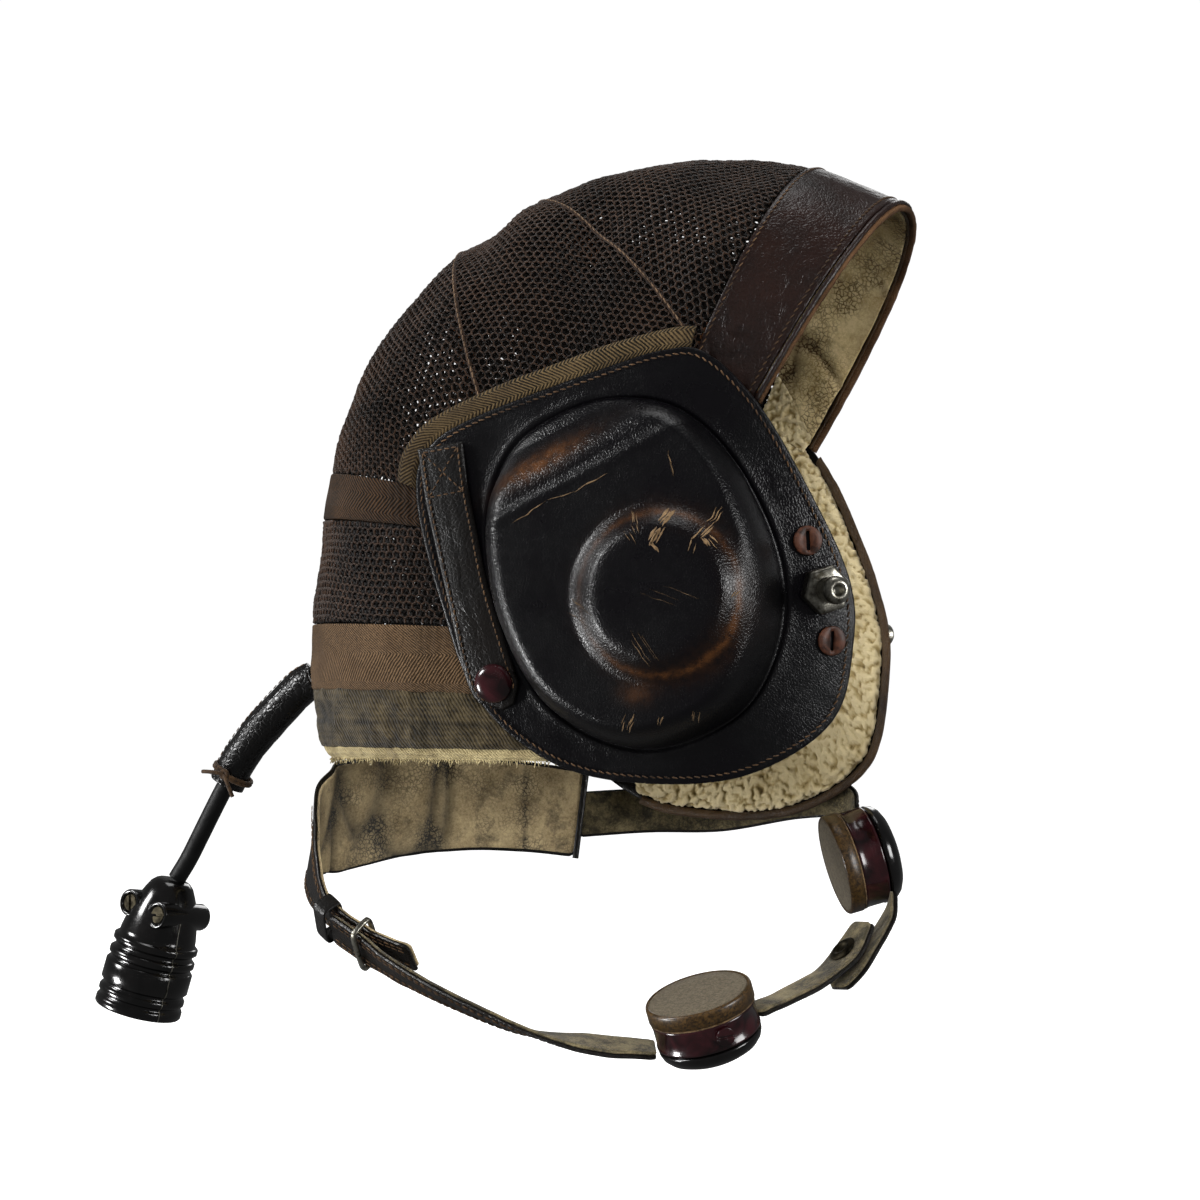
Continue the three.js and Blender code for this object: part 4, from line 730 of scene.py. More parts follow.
def hoodPoint(rib, turn):
    # Side point plus the cosine of the turn towards the top point, and half the width times its sine, swollen
    # at the shoulders and sunk by the dents. Past a turn of 1 a rib goes straight on under the ear panel
    rib, turn = np.broadcast_arrays(np.asarray(rib, float), np.asarray(turn, float))
    sideX, sideZ, topX, topZ, half, square = (tableCurve(ribs, key, rib)
                                              for key in ("sideX", "sideZ", "topX", "topZ", "half", "square"))
    angle = np.clip(turn, -1, 1) * np.pi / 2
    swell = 1 + square * np.sin(2 * angle) ** 2
    sunk = sum(dent["depth"] * bell((rib - dent["rib"]) / dent["ribSpread"])
               * bell((turn - dent["turn"]) / dent["turnSpread"]) for dent in dents)
    shrink = 1 - sunk / half
    rise = np.cos(angle) * swell * shrink - np.maximum(np.abs(turn) - 1, 0) * np.pi / 2
    return np.stack([sideX + (topX - sideX) * rise, half * np.sin(angle) * swell * shrink,
                     sideZ + (topZ - sideZ) * rise], axis=-1)


def turnUnder(rib, distance):
    # Turn at which a rib has gone the given distance past its side
    reach = np.hypot(tableCurve(ribs, "topX", rib) - tableCurve(ribs, "sideX", rib),
                     tableCurve(ribs, "topZ", rib) - tableCurve(ribs, "sideZ", rib))
    return 1 + distance / (reach * np.pi / 2)


def hoodAcross(rib, across, tuck=tuckUnder):
    return hoodPoint(rib, across * turnUnder(rib, tuck))


def surfaceNormal(surface, u, v, step=1e-3):
    # Unit normal of a surface of two parameters, pointing away from the head
    normal = unit(np.cross(surface(u + step, v) - surface(u - step, v),
                           surface(u, v + step) - surface(u, v - step)))
    towards = np.sum(normal * (surface(u, v) - headCentre), axis=-1, keepdims=True) < 0
    return np.where(towards, -normal, normal)


def gridLengths(grid, axis):
    # Distance along each line of a grid from its first point
    steps = np.linalg.norm(np.diff(grid, axis=axis), axis=-1)
    start = np.zeros_like(np.take(steps, [0], axis=axis))
    return np.concatenate([start, np.cumsum(steps, axis=axis)], axis=axis)


def edgeSteps(start, end, count, edge):
    # Even steps from start to end, with close ones near both ends where an edge is rounded
    near = np.array([0, 0.15, 0.5]) * edge
    return np.concatenate([start + near, np.linspace(start + edge, end - edge, count), end - near[::-1]])


def softSheet(name, surface, us, vs, low, high, relief=None, hollow=None, **made):
    # Sheet between two offsets of a surface: its edges are rounded over half its thickness, and a relief in
    # millimetres lifts it where it is creased or puckered. Its hollow value says where painted shade darkens
    # its folds and grooves
    u, v = np.meshgrid(us, vs, indexing="ij")
    middle = surface(u, v)
    normal = surfaceNormal(surface, u, v)
    across, along = gridLengths(middle, 0), gridLengths(middle, 1)
    nearest = np.minimum(np.minimum(across, across[-1] - across), np.minimum(along, along[:, -1:] - along))
    half = (high - low) / 2
    share = np.sqrt(1 - (1 - np.clip(nearest / half, 0, 1)) ** 2)
    lift = relief(middle, across, along) if relief else 0 * nearest
    centre = (low + high) / 2
    outer = middle + normal * (centre + half * share + lift)[..., None]
    inner = middle + normal * (centre - half * share + lift)[..., None]
    piece = makeMesh(name, slab(outer, inner), uv=np.stack([along, across], axis=-1).reshape(-1, 2), **made)
    if hollow:
        addAttribute(piece, "hollow", hollow(middle, across))
    return piece


# Net of the crown and the nape, in two layers: short threads between the knots of a hexagonal lattice, in
# real millimetres along and across each strip between two seams. The inner layer lies half a hole to the side
# of the outer one and is knitted thicker, so it fills the holes, but at the back and the top both are
# stretched open

netLook = {"pitch": 3.0, "jitter": 0.2, "knotLift": 0.22, "slack": 1.1, "slackSize": 24, "stretch": 1.6,
           "stretchSize": 31}
netLayers = [
    {"name": "outer", "depth": 0.1, "thread": 0.48, "drift": 0.0, "aside": 0.0, "filling": 0.0,
     "farSide": 0.0, "material": netCotton},
    # The inner layer's darker cotton is painted shade in the holes of the outer one
    {"name": "inner", "depth": -1.6, "thread": 0.42, "drift": 0.4, "aside": 1.73, "filling": 0.7,
     "farSide": 0.4, "material": shadedCotton},
]
stripTurns = np.linspace(-1.05, 1.05, 421)  # from one ear panel to the other, and a little under both
stripSteps = 60  # from one edge of a strip to the other
netOpen = {"net_crown_front": (-0.32, 0.42), "net_crown_back": (-0.46, 0.6), "net_nape_knit": (-0.34, -0.2)}
seams = {"front": {"topRib": 4.4, "sideRib": 1.1}, "rear": {"topRib": 5.7, "sideRib": 5.6}}


def seamRib(seam, turn):
    # A seam leaves its top rib slowly and bends to its side rib at the ear panel
    share = np.minimum(np.abs(turn), 1) ** 1.7
    return seam["topRib"] + (seam["sideRib"] - seam["topRib"]) * share


def stripPlaces(firstRib, lastRib):
    # The strip between two edges, as a function from distances a, along its middle line, and b, to the side
    # of it, and a lift to a point. Lengths on a grid of the strip are turned round by interpolation
    shares = np.linspace(0, 1, stripSteps + 1)
    low, high = firstRib(stripTurns), lastRib(stripTurns)
    ribGrid = low[:, None] + (high - low)[:, None] * shares
    lengths = gridLengths(hoodPoint(ribGrid, stripTurns[:, None]), 1)
    width = lengths[:, -1]
    ribAtShare = np.stack([np.interp(shares * row[-1], row, ribRow) for row, ribRow in zip(lengths, ribGrid)])
    lineLength = pathLength(hoodPoint(ribAtShare[:, stripSteps // 2], stripTurns))
    rowNumbers = np.arange(len(stripTurns))

    def place(a, b, lift):
        turn = np.interp(a, lineLength, stripTurns)
        row = np.interp(a, lineLength, rowNumbers)
        share = np.clip(0.5 + b / np.interp(row, rowNumbers, width), 0, 1)
        i = np.clip(row.astype(int), 0, len(rowNumbers) - 2)
        j = np.clip((share * stripSteps).astype(int), 0, stripSteps - 1)
        s, t = row - i, share * stripSteps - j
        rib = ((ribAtShare[i, j] * (1 - t) + ribAtShare[i, j + 1] * t) * (1 - s)
               + (ribAtShare[i + 1, j] * (1 - t) + ribAtShare[i + 1, j + 1] * t) * s)
        point = hoodPoint(rib, turn)
        slack = sum(valueNoise(point, netLook["slackSize"] / k, 4 + k) / k for k in (1, 2))
        fixed = np.minimum(1, 6 * share * (1 - share))  # it hangs slack only away from the seams
        rise = lift + netLook["slack"] * slack * fixed
        return point + surfaceNormal(hoodPoint, rib, turn) * rise[:, None]

    return place, lineLength, width


def netStrip(name, firstRib, lastRib, replaced, seed):
    place, lineLength, width = stripPlaces(firstRib, lastRib)
    pitch = netLook["pitch"]
    countA = int(lineLength[-1] / pitch) + 2
    countB = int(width.max() / (pitch * 0.866)) + 3
    i, j = np.meshgrid(np.arange(-countB, countA + countB), np.arange(-countB // 2 - 1, countB // 2 + 2),
                       indexing="ij")
    i, j = i.ravel(), j.ravel()
    openFrom, openTo = netOpen.get(name, (2, 3))

    def filledAt(a):
        turn = np.interp(a, lineLength, stripTurns)
        return 1 - smoothStep(turn, openFrom, openFrom + 0.1) * (1 - smoothStep(turn, openTo - 0.1, openTo))

    def knot(i, j, second, layer):
        # Lattice spot, moved by a stretch that both layers share, by this layer's drift and by a little
        # jitter. The inner layer is moved aside, but lies on the outer one where the net stands open
        cells = np.stack([i, j, np.full_like(i, int(second))], axis=-1).astype(float)
        shift = [2 * latticeHash(cells, seed + k) - 1 for k in range(3)]
        a, b = pitch * (i + j / 2), pitch * (0.866 * j + 0.577 * second)
        flat = np.stack([a, b, np.full_like(a, float(seed))], axis=-1)
        stretch = [netLook["stretch"] * valueNoise(flat, netLook["stretchSize"], k) for k in (1, 2)]
        drift = [layer["drift"] * valueNoise(flat, netLook["stretchSize"] * 0.8, k) for k in (3, 4)]
        filled = filledAt(a)
        return (a + stretch[0] + drift[0] * filled + netLook["jitter"] * shift[0],
                b + stretch[1] + (drift[1] + layer["aside"]) * filled + netLook["jitter"] * shift[1],
                layer["depth"] * (0.2 + 0.8 * filled) + netLook["knotLift"] * shift[2])

    for layer in netLayers:
        starts, ends, fillings = [], [], []
        for otherI, otherJ in ((0, 0), (0, -1), (1, -1)):
            a1, b1, lift1 = knot(i, j, 0, layer)
            a2, b2, lift2 = knot(i + otherI, j + otherJ, 1, layer)
            middle, side = (a1 + a2) / 2, (b1 + b2) / 2
            half = np.interp(middle, lineLength, width) / 2
            keep = (middle > 1) & (middle < lineLength[-1] - 1) & (np.abs(side) < half)
            starts.append(place(a1[keep], b1[keep], lift1[keep]))
            ends.append(place(a2[keep], b2[keep], lift2[keep]))
            fillings.append((layer["filling"] + 0.1) * filledAt(a1[keep]) - 0.1)  # thin where it is stretched
        starts, ends, filling = (np.concatenate(parts) for parts in (starts, ends, fillings))
        long = np.linalg.norm(ends - starts, axis=1) > 0.4
        starts, ends, filling = starts[long], ends[long], filling[long]
        closed = smoothStep(starts[:, 1], 8, 30) * (1 - smoothStep(-starts[:, 0], 112, 126))
        closed = closed * (1 - smoothStep(starts[:, 2], -32, -22))
        thread = layer["thread"] * (1 + 0.16 * valueNoise(starts, 3, 8)) + filling + layer["farSide"] * closed
        print("net strip", name, layer["name"], len(starts), "threads")
        makeMesh(name + "_" + layer["name"], bars(starts, ends, thread), layer["material"], "net", replaced)


def netSeam(name, seam, replaced):
    # A tape behind the seam, a low ridge where the two strips are turned in, and a light thread along it
    def surface(distance, turn):
        rib = seamRib(seam, turn)
        span = np.linalg.norm(hoodPoint(rib + 0.2, turn) - hoodPoint(rib - 0.2, turn), axis=-1) / 0.4
        return hoodPoint(rib + distance / np.maximum(span, 6), turn)

    turns = np.linspace(-0.97, 0.97, 220)
    softSheet("seam_tape_" + name, surface, edgeSteps(-5.5, 5.5, 4, 0.5), turns[::2], -3.6, -2.6,
              lambda p, u, v: 0.35 * valueNoise(p, 9, 3), material=bandCotton, slotName="tape_brown",
              replaced=replaced)
    line = surface(np.zeros_like(turns), turns)
    normal = surfaceNormal(surface, np.zeros_like(turns), turns)
    ridge = evenPath(line + 0.25 * normal, 240)
    ridge += 0.3 * np.stack([valueNoise(ridge, 4, k) for k in (1, 2, 3)], axis=1)
    section = circleSection(0.75, 6)
    makeMesh("seam_ridge_" + name, sweepSection(ridge, (0.0, 1.0, 0.2), section), netCotton, "net")
    thread = stitchRow(line + 0.95 * normal, normal, 2.5, 2.35, 0.24, 0.12)
    makeMesh("seam_thread_" + name, thread, seamThread, "net")


def stitchRow(path, normals, pitch, length, radius, slant=0.0):
    # Short raised threads at an even pitch along a path; a slant turns each of them a little to one side
    along = pathLength(path)
    count = max(int(along[-1] / pitch), 1)
    first = (np.arange(count) + 0.5) * along[-1] / count

    def at(values, distance):
        return np.stack([np.interp(distance, along, values[:, k]) for k in range(3)], axis=1)

    start, end = at(path, first - length / 2), at(path, first + length / 2)
    up = unit(at(normals, first))
    side = unit(np.cross(end - start, up))
    start, end = start - side * slant * length / 2, end + side * slant * length / 2
    lift = up * radius * 0.4
    return strands(start + lift, end + lift, radius, [(0.05, 0.62), (0.3, 1), (0.7, 1), (0.95, 0.62)], 5)


def ribEdge(rib):
    return lambda turn: np.full_like(turn, float(rib))


def makeHood():
    front = lambda turn: seamRib(seams["front"], turn)
    rear = lambda turn: seamRib(seams["rear"], turn)
    netStrip("net_crown_front", ribEdge(1.02), front, ("net_crown",), 11)
    netStrip("net_crown_top", front, rear, ("net_crown",), 23)
    netStrip("net_crown_back", rear, ribEdge(8.98), ("net_crown",), 37)
    netStrip("net_nape_knit", ribEdge(10.02), ribEdge(10.98), ("net_nape",), 53)
    netSeam("front", seams["front"], ("seam_band_front",))
    netSeam("rear", seams["rear"], ("seam_band_rear",))


makeHood()


# Tapes and cloth round the nape. The foot of each piece lies over the top of the next one

def tapeRelief(points, across, along):
    # Shallow waves, and small puckers that run down the tape near its right end, where it is sewn under
    pucker = smoothStep(points[..., 0], -125, -95) * (points[..., 1] < 0)
    return (0.45 * valueNoise(points, 13, 2) + 0.2 * valueNoise(points, 5, 4)
            + 0.35 * pucker * np.sin(points[..., 0] * 1.9 + 2 * valueNoise(points, 9, 1)))


def clothRelief(points, across, along):
    # Wrinkles, a raised hem below the middle, the drawstring's slot at the rear right, and two seams down the
    # cloth in front of it
    slotX, slotZ = points[..., 0] + 150, across - 9
    slot = np.exp(-((slotX / 6.5) ** 8 + (slotZ / 3.6) ** 8)) * (points[..., 1] < 0)
    seamLines = sum(bell((points[..., 0] + x) / 0.9) for x in (112, 107.5)) * (points[..., 1] < 0)
    hem = smoothStep(across, 12.6, 13.2) * (1 - smoothStep(across, 22, 23))
    wrinkle = 1 - np.abs(valueNoise(points * (1, 1, 0.45), 8, 4))
    return (0.8 * wrinkle ** 3 - 0.3 + 0.35 * valueNoise(points, 4, 6) + 0.5 * hem
            - 0.9 * slot + 0.6 * seamLines)


def clothHollow(points, across):
    # Painted shade beside the two seams, along the hem and in the drawstring's slot
    lines = sum(bell((points[..., 0] + x) / 0.8) for x in (113.4, 106)) + bell((across - 12.7) / 0.7)
    slotX, slotZ = points[..., 0] + 150, across - 9
    slot = np.exp(-((slotX / 6.5) ** 8 + (slotZ / 3.6) ** 8))
    return 0.7 * np.clip(lines + 0.6 * slot, 0, 1) * (points[..., 1] < 0)


def stripRelief(points, across, along):
    return 0.5 * valueNoise(points, 7, 3) + 0.4 * valueNoise(points, 2.5, 5)


napeBands = [
    {"name": "nape_tape_upper", "rows": (9, 10), "tuck": 6, "low": -0.8, "material": darkTape,
     "slot": "tape_dark", "relief": tapeRelief},
    {"name": "nape_tape_lower", "rows": (11, 12.02), "tuck": 8, "low": -0.6, "material": brownTape,
     "slot": "tape_brown", "relief": tapeRelief},
    {"name": "nape_cloth", "rows": (11.97, 13.05), "tuck": 16, "low": -0.9, "material": oliveCloth,
     "slot": "cloth", "relief": clothRelief, "hollow": clothHollow},
    {"name": "nape_edge_strip", "rows": (12.9, 14.5), "tuck": 20, "low": -1.5, "material": creamCotton,
     "slot": "cream", "relief": stripRelief},
]


def makeNapeBands():
    # Each band is a strip of cloth stretched round the nape. The narrow cream one is the hem of the cloth
    made = {}
    for band in napeBands:
        low, high = band["rows"]
        height = np.linalg.norm(hoodAcross(high, 0.0) - hoodAcross(low, 0.0))
        step = (high - low) / height
        rows = edgeSteps(low + 0.15 * step, high - 0.15 * step, max(int(height / 1.5), 4), 1.2 * step)
        surface = lambda rib, across: hoodAcross(rib, across, band["tuck"])
        sheet = softSheet(band["name"] + "_woven", surface, rows, np.linspace(-1, 1, 190), band["low"],
                          band["low"] + 1.5, band["relief"], band.get("hollow"), material=band["material"],
                          slotName=band["slot"], replaced=(band["name"],))
        length = pathLength(surface(np.full(90, (low + high) / 2), np.linspace(-1, 1, 90)))[-1]
        made[band["name"]] = {"piece": sheet, "flat": (float(height), float(length))}
    hem = [made.pop("nape_edge_strip")["piece"], makeFray()]
    for name, row in made.items():
        tuple(side * mm for side in row["flat"])
        print(name, "is cut to", [round(side, 1) for side in row["flat"]], "mm")


def makeFray():
    # Loose threads that hang from the cream strip's foot
    count = 420
    spread = np.linspace(-0.97, 0.97, count)
    cells = np.stack([np.arange(count), np.zeros(count), np.zeros(count)], axis=1)
    lean, reach = (2 * latticeHash(cells, k) - 1 for k in (3, 4))
    start = hoodAcross(14.4, spread, 20)
    end = start + np.stack([0.9 * lean, 0.4 * lean, -0.8 - 1.6 * np.abs(reach) ** 3], axis=1)
    points, faces = bars(start, end, 0.24)
    return makeMesh("nape_edge_fray", (points, faces), creamCotton, "cream", uv=points[:, [0, 2]])


makeNapeBands()


# Brow band: creased leather, its lining, the cut and folded rim and two rows of stitches

browLook = {"swell": 0.45, "creaseDepth": 0.62, "creaseMm": 6.5}
browEdges = {
    "fold": {"section": [(0.1, 0.3), (1.4, 0.4), (1.9, 0.8), (1.8, 1.4), (1.1, 1.8), (0.1, 1.7)],
             "material": browLeather, "slot": "brow_leather"},
    "raw": {"section": [(0.2, -1.7), (2.4, -1.8), (3.1, -1.4), (3.2, 0.1), (2.6, 0.5), (0.2, 0.4)],
            "material": rawLeather, "slot": "brown_leather"},
    "inside": {"section": [(0.1, -2.4), (0.8, -2.4), (1.2, -2.2), (1.1, -1.9), (0.7, -1.75), (0.1, -1.8)],
               "material": bindingLeather, "slot": "black_leather"},
}


def browRelief(points, across, along):
    # Wide soft swells, and creases that get deeper down the right side, flattened at both edges
    lower = smoothStep(-points[..., 2], 38, 78)
    crease = (1 - np.abs(valueNoise(points * (1, 1, 0.8), browLook["creaseMm"], 4))) ** 6
    second = (1 - np.abs(valueNoise(points * (0.8, 1, 1), browLook["creaseMm"] * 0.55, 9))) ** 5
    rows = np.clip(np.minimum(across, across[-1] - across) / 5, 0, 1)
    return rows * (browLook["swell"] * valueNoise(points, 15, 2)
                   - browLook["creaseDepth"] * (0.25 + lower) * (crease + 0.6 * second))


def liningHollow(points, across):
    # Valleys that run down and back between the folds of the lining, on its low left side. On the hide they
    # are also painted shade
    low = smoothStep(-points[..., 2], 18, 48) * (points[..., 1] > 0)
    slanted = points @ np.array([[1, 0.2, 0], [0.15, 0.25, 0.2], [0.5, 0, 0.3]])
    return (0.15 + 0.85 * low) * (1 - np.abs(valueNoise(slanted, 12, 5))) ** 7


def liningRelief(points, across, along):
    # The lining bulges towards the head between its valleys, and is softly crumpled all over
    low = smoothStep(-points[..., 2], 18, 48) * (points[..., 1] > 0)
    bulge = -1.8 * low * (1 - liningHollow(points, across))
    return bulge - 0.7 * (1 - np.abs(valueNoise(points, 13, 8))) ** 3 - 0.25 * valueNoise(points, 4, 3)


aslant = np.array([[0.8, 0.36, 0.48], [-0.6, 0.48, 0.64], [0, -0.8, 0.6]])  # so that no row of lumps shows


def pileCurl(points):
    # Lumps of wool at places that are moved about a little: 1 at a lump's middle, 0 in a hollow. Three sets
    # of lumps are added up, so that no straight creases are left between them
    loosened = points @ aslant + 1.1 * np.stack([valueNoise(points, 2.2, k) for k in (6, 7, 8)], axis=-1)
    lumps = (0.42 * cellBumps(loosened, 3.2, 4) + 0.33 * cellBumps(loosened + 1.5, 2.6, 13)
             + 0.25 * cellBumps(loosened, 1.8, 9))
    return smoothStep(lumps, 0.3, 0.88)


def pileRelief(points, across, along):
    return 0.6 - 1.8 * pileCurl(points)


def pileLimit(rib):
    # Share of the way down each side where the brow's lining changes from hide to fleece
    return 0.97 - 0.11 * np.asarray(rib)


def makeBrow():
    softSheet("brow_band_leather", hoodAcross, edgeSteps(0.012, 0.992, 32, 0.03), np.linspace(-1, 1, 250),
              -0.6, 1.2, browRelief, material=browLeather, slotName="brow_leather", replaced=("brow_band",))
    softSheet("brow_lining_hide", lambda rib, share: hoodAcross(rib, share * pileLimit(rib)),
              edgeSteps(0.005, 0.985, 32, 0.03), np.linspace(-1.01, 1.01, 190), -2.6, -1.2, liningRelief,
              liningHollow, material=liningHide, slotName="suede", replaced=("brow_lining",))
    rows, shares = edgeSteps(0.02, 0.985, 42, 0.03), np.linspace(0, 1, 26)
    for name, sign in (("left", 1), ("right", -1)):
        def surface(rib, share):
            return hoodAcross(rib, sign * (pileLimit(rib) + (1.02 - pileLimit(rib)) * share))

        pile = softSheet("brow_fleece_" + name, surface, rows, shares, -3.4, -1.6, pileRelief,
                         material=fleece, slotName="fleece", replaced=("brow_lining",))
        addAttribute(pile, "curlTop", pileCurl(surface(*np.meshgrid(rows, shares, indexing="ij"))))
    turns = np.linspace(-1, 1, 260)
    rim, behind = hoodAcross(0, turns), hoodAcross(0.25, turns)
    ahead = unit(rim - behind)
    normal = surfaceNormal(hoodAcross, np.zeros_like(turns), turns)
    for name, edge in browEdges.items():
        corner = np.array(edge["section"])
        grid = rim[:, None] + corner[:, :1] * ahead[:, None] + corner[:, 1:] * normal[:, None]
        grid += 0.16 * np.stack([valueNoise(grid, 3.5, k) for k in (1, 2, 3)], axis=-1)
        makeMesh("brow_edge_" + name, cappedTube(grid), edge["material"], edge["slot"], ("brow_binding",))
    for name, rib, thread in (("rim", 0.1, darkThread), ("seam", 0.93, linenThread)):
        up = surfaceNormal(hoodAcross, np.full_like(turns, rib), turns)
        stitches = stitchRow(hoodAcross(rib, turns) + 1.25 * up, up, 2.7, 2.1, 0.26, 0.3)
        makeMesh("brow_stitches_" + name, stitches, thread, "brown_leather")


makeBrow()
print("hood made")


# Ear flaps: moulded panel with its dome, fleece lining, binding, edge tape, goggle-strap tab and fittings

panelOutline = namedRows("x z", [
    (3, -83.1), (19, -98.1), (34, -123.1), (49.7, -158.5),  # from the top front down the cheek
    (51.6, -182.8), (43.5, -212.1), (13, -230.7), (-27, -232.6),  # round the chin corner and along the bottom
    (-56, -224.7), (-79.9, -203.6), (-93, -168.1), (-101.2, -132.5),  # up the rear
    (-97.5, -115.1), (-80, -103.7), (-36, -88.9), (-11, -82.1),  # along the top
])
domeFoot = namedRows("x z", [
    (-74, -142.1), (-66, -117.1), (-48, -104.1), (-27, -99.1), (-4, -104.6), (15, -125.1),  # rear to front
    (27.5, -156.1), (26.5, -184.1), (12, -209.1), (-20, -220.6), (-51, -207.6), (-69, -177.1),  # and back
])
domeCentre = (-23, -160.1)
capsuleCentre = (-8.7, -168.4)
dome = {"face": 97.5, "wall": 9, "capsuleRadius": 29, "capsuleRise": 8, "lift": 3.6, "thickness": 2.2}
crease = {"endX": -65, "endZ": -139.7, "normalX": -0.446, "normalZ": 0.895, "width": 25, "fall": 17,
          "step": 1.2}
flapSides = [
    {"name": "right", "sign": -1, "hang": 0, "reach": -6, "around": 210, "rings": 84, "pile": (300, 40)},
    {"name": "left", "sign": 1, "hang": 16, "reach": -3, "around": 110, "rings": 44, "pile": (600, 66)},
]


def outlineRadius(rows, centre):
    # Radius of a closed outline round a centre, as a function of the angle
    place = np.linspace(0, len(rows), 720, endpoint=False)
    dx = tableCurve(rows, "x", place, True) - centre[0]
    dz = tableCurve(rows, "z", place, True) - centre[1]
    angle, radius = np.arctan2(dz, dx), np.hypot(dx, dz)
    order = np.argsort(angle)
    return lambda turn: np.interp(np.arctan2(np.sin(turn), np.cos(turn)), angle[order], radius[order],
                                  period=2 * np.pi)


panelRadius = outlineRadius(panelOutline, domeCentre)
footRadius = outlineRadius(domeFoot, capsuleCentre)


def sideDepth(x, z):
    # Distance of the head's side from the middle plane: it curves in towards the cheek and the jaw
    return 77 - 2.64e-5 * np.maximum(0, x + 43) ** 3 - 7e-4 * np.maximum(0, -104 - z) ** 2


def domeHeight(x, z):
    # Height over the flat of the panel: a quarter-round wall at the foot, a face with a lower crescent behind
    # the crease, and a round bump for the earphone. A pressed lip runs round just outside the foot
    dx, dz = x - capsuleCentre[0], z - capsuleCentre[1]
    inside = footRadius(np.arctan2(dz, dx)) - np.hypot(dx, dz)
    climb = np.clip(inside / dome["wall"], 0, 1)
    wall = np.sqrt(1 - (1 - climb) ** 2)
    past = (x - crease["endX"]) * crease["normalX"] + (z - crease["endZ"]) * crease["normalZ"]
    fall = crease["fall"] * np.clip(past / crease["width"], 0, 1) ** 1.4
    crescent = smoothStep(past, -0.7, 0.9) * crease["step"] + fall
    crescent = crescent - 1.7 * bell((past - 8) / 6) * smoothStep(past, 0, 4)
    ridge = 0.5 * bell((past + 1.4) / 1.3)
    bump = dome["capsuleRise"] * (1 - smoothStep(np.hypot(dx, dz) / dome["capsuleRadius"], 0.72, 1.12))
    face = np.maximum(dome["face"] - crescent + bump + ridge - sideDepth(x, z) - dome["lift"], 4)
    lip = 0.45 * bell((inside + 2.4) / 1.5) - 0.6 * bell((inside + 0.3) / 0.8)
    return face * wall + lip


def panelDepth(x, z):
    return sideDepth(x, z) + dome["lift"] + domeHeight(x, z)


def hung(side, z):
    # Height on a panel: the left one hangs lower towards its bottom
    return z - side["hang"] * smoothStep(-106 - z, 0, 110)


def panelPoint(side, x, z):
    return np.stack([x, side["sign"] * panelDepth(x, z), hung(side, z)], axis=-1)


def flatNormal(side, x, z, depth, step=0.8):
    # Unit normal, away from the head, of a surface given as depth over x and z
    slopeX = (depth(x + step, z) - depth(x - step, z)) / (2 * step)
    slopeZ = (depth(x, z + step) - depth(x, z - step)) / (2 * step)
    return unit(np.stack([-slopeX, side["sign"] * np.ones_like(x), -slopeZ], axis=-1))


def panelWear(x, z):
    # Where the finish is worn off: a thin line round the earphone with a faint halo, the left of the crescent
    # and a spot below the earphone
    dx, dz = x - capsuleCentre[0], z - capsuleCentre[1]
    turn = np.degrees(np.arctan2(dz, dx))
    fromCentre = np.hypot(dx, dz)
    strong = 0.12 + sum(most * bell((turn - middle) / spread)
                        for most, middle, spread in ((0.85, -40, 48), (0.35, 95, 55), (0.35, -115, 32)))
    ring = bell((fromCentre - 27.6) / 1.1) + 0.16 * bell((fromCentre - 28) / 4.5)
    past = (x - crease["endX"]) * crease["normalX"] + (z - crease["endZ"]) * crease["normalZ"]
    crescent = 0.9 * bell((past - 10) / 3.4) * bell((x + 52) / 13)
    spot = 0.3 * bell((x + 17) / 5) * bell((z + 202) / 3.6)
    return np.clip(ring * strong + crescent + spot, 0, 1)


def shellFaces(rings, around):
    # Faces of a closed shell: outer rings from the edge in to a middle point, the inner ones, and the edge
    size = rings * around
    top = gridFaces(rings, around, closedV=True)
    ring = np.arange(around)
    after = (ring + 1) % around
    last = (rings - 1) * around
    topMiddle, lowMiddle = 2 * size, 2 * size + 1
    bottom = gridFaces(rings, around, closedV=True, start=size, flip=True)
    edge = np.stack([ring, after, after + size, ring + size], axis=1)
    faces = np.concatenate([top, bottom, edge]).tolist()
    faces += np.stack([last + ring, np.full(around, topMiddle), last + after], axis=1).tolist()
    faces += np.stack([size + last + after, np.full(around, lowMiddle), size + last + ring], axis=1).tolist()
    return faces


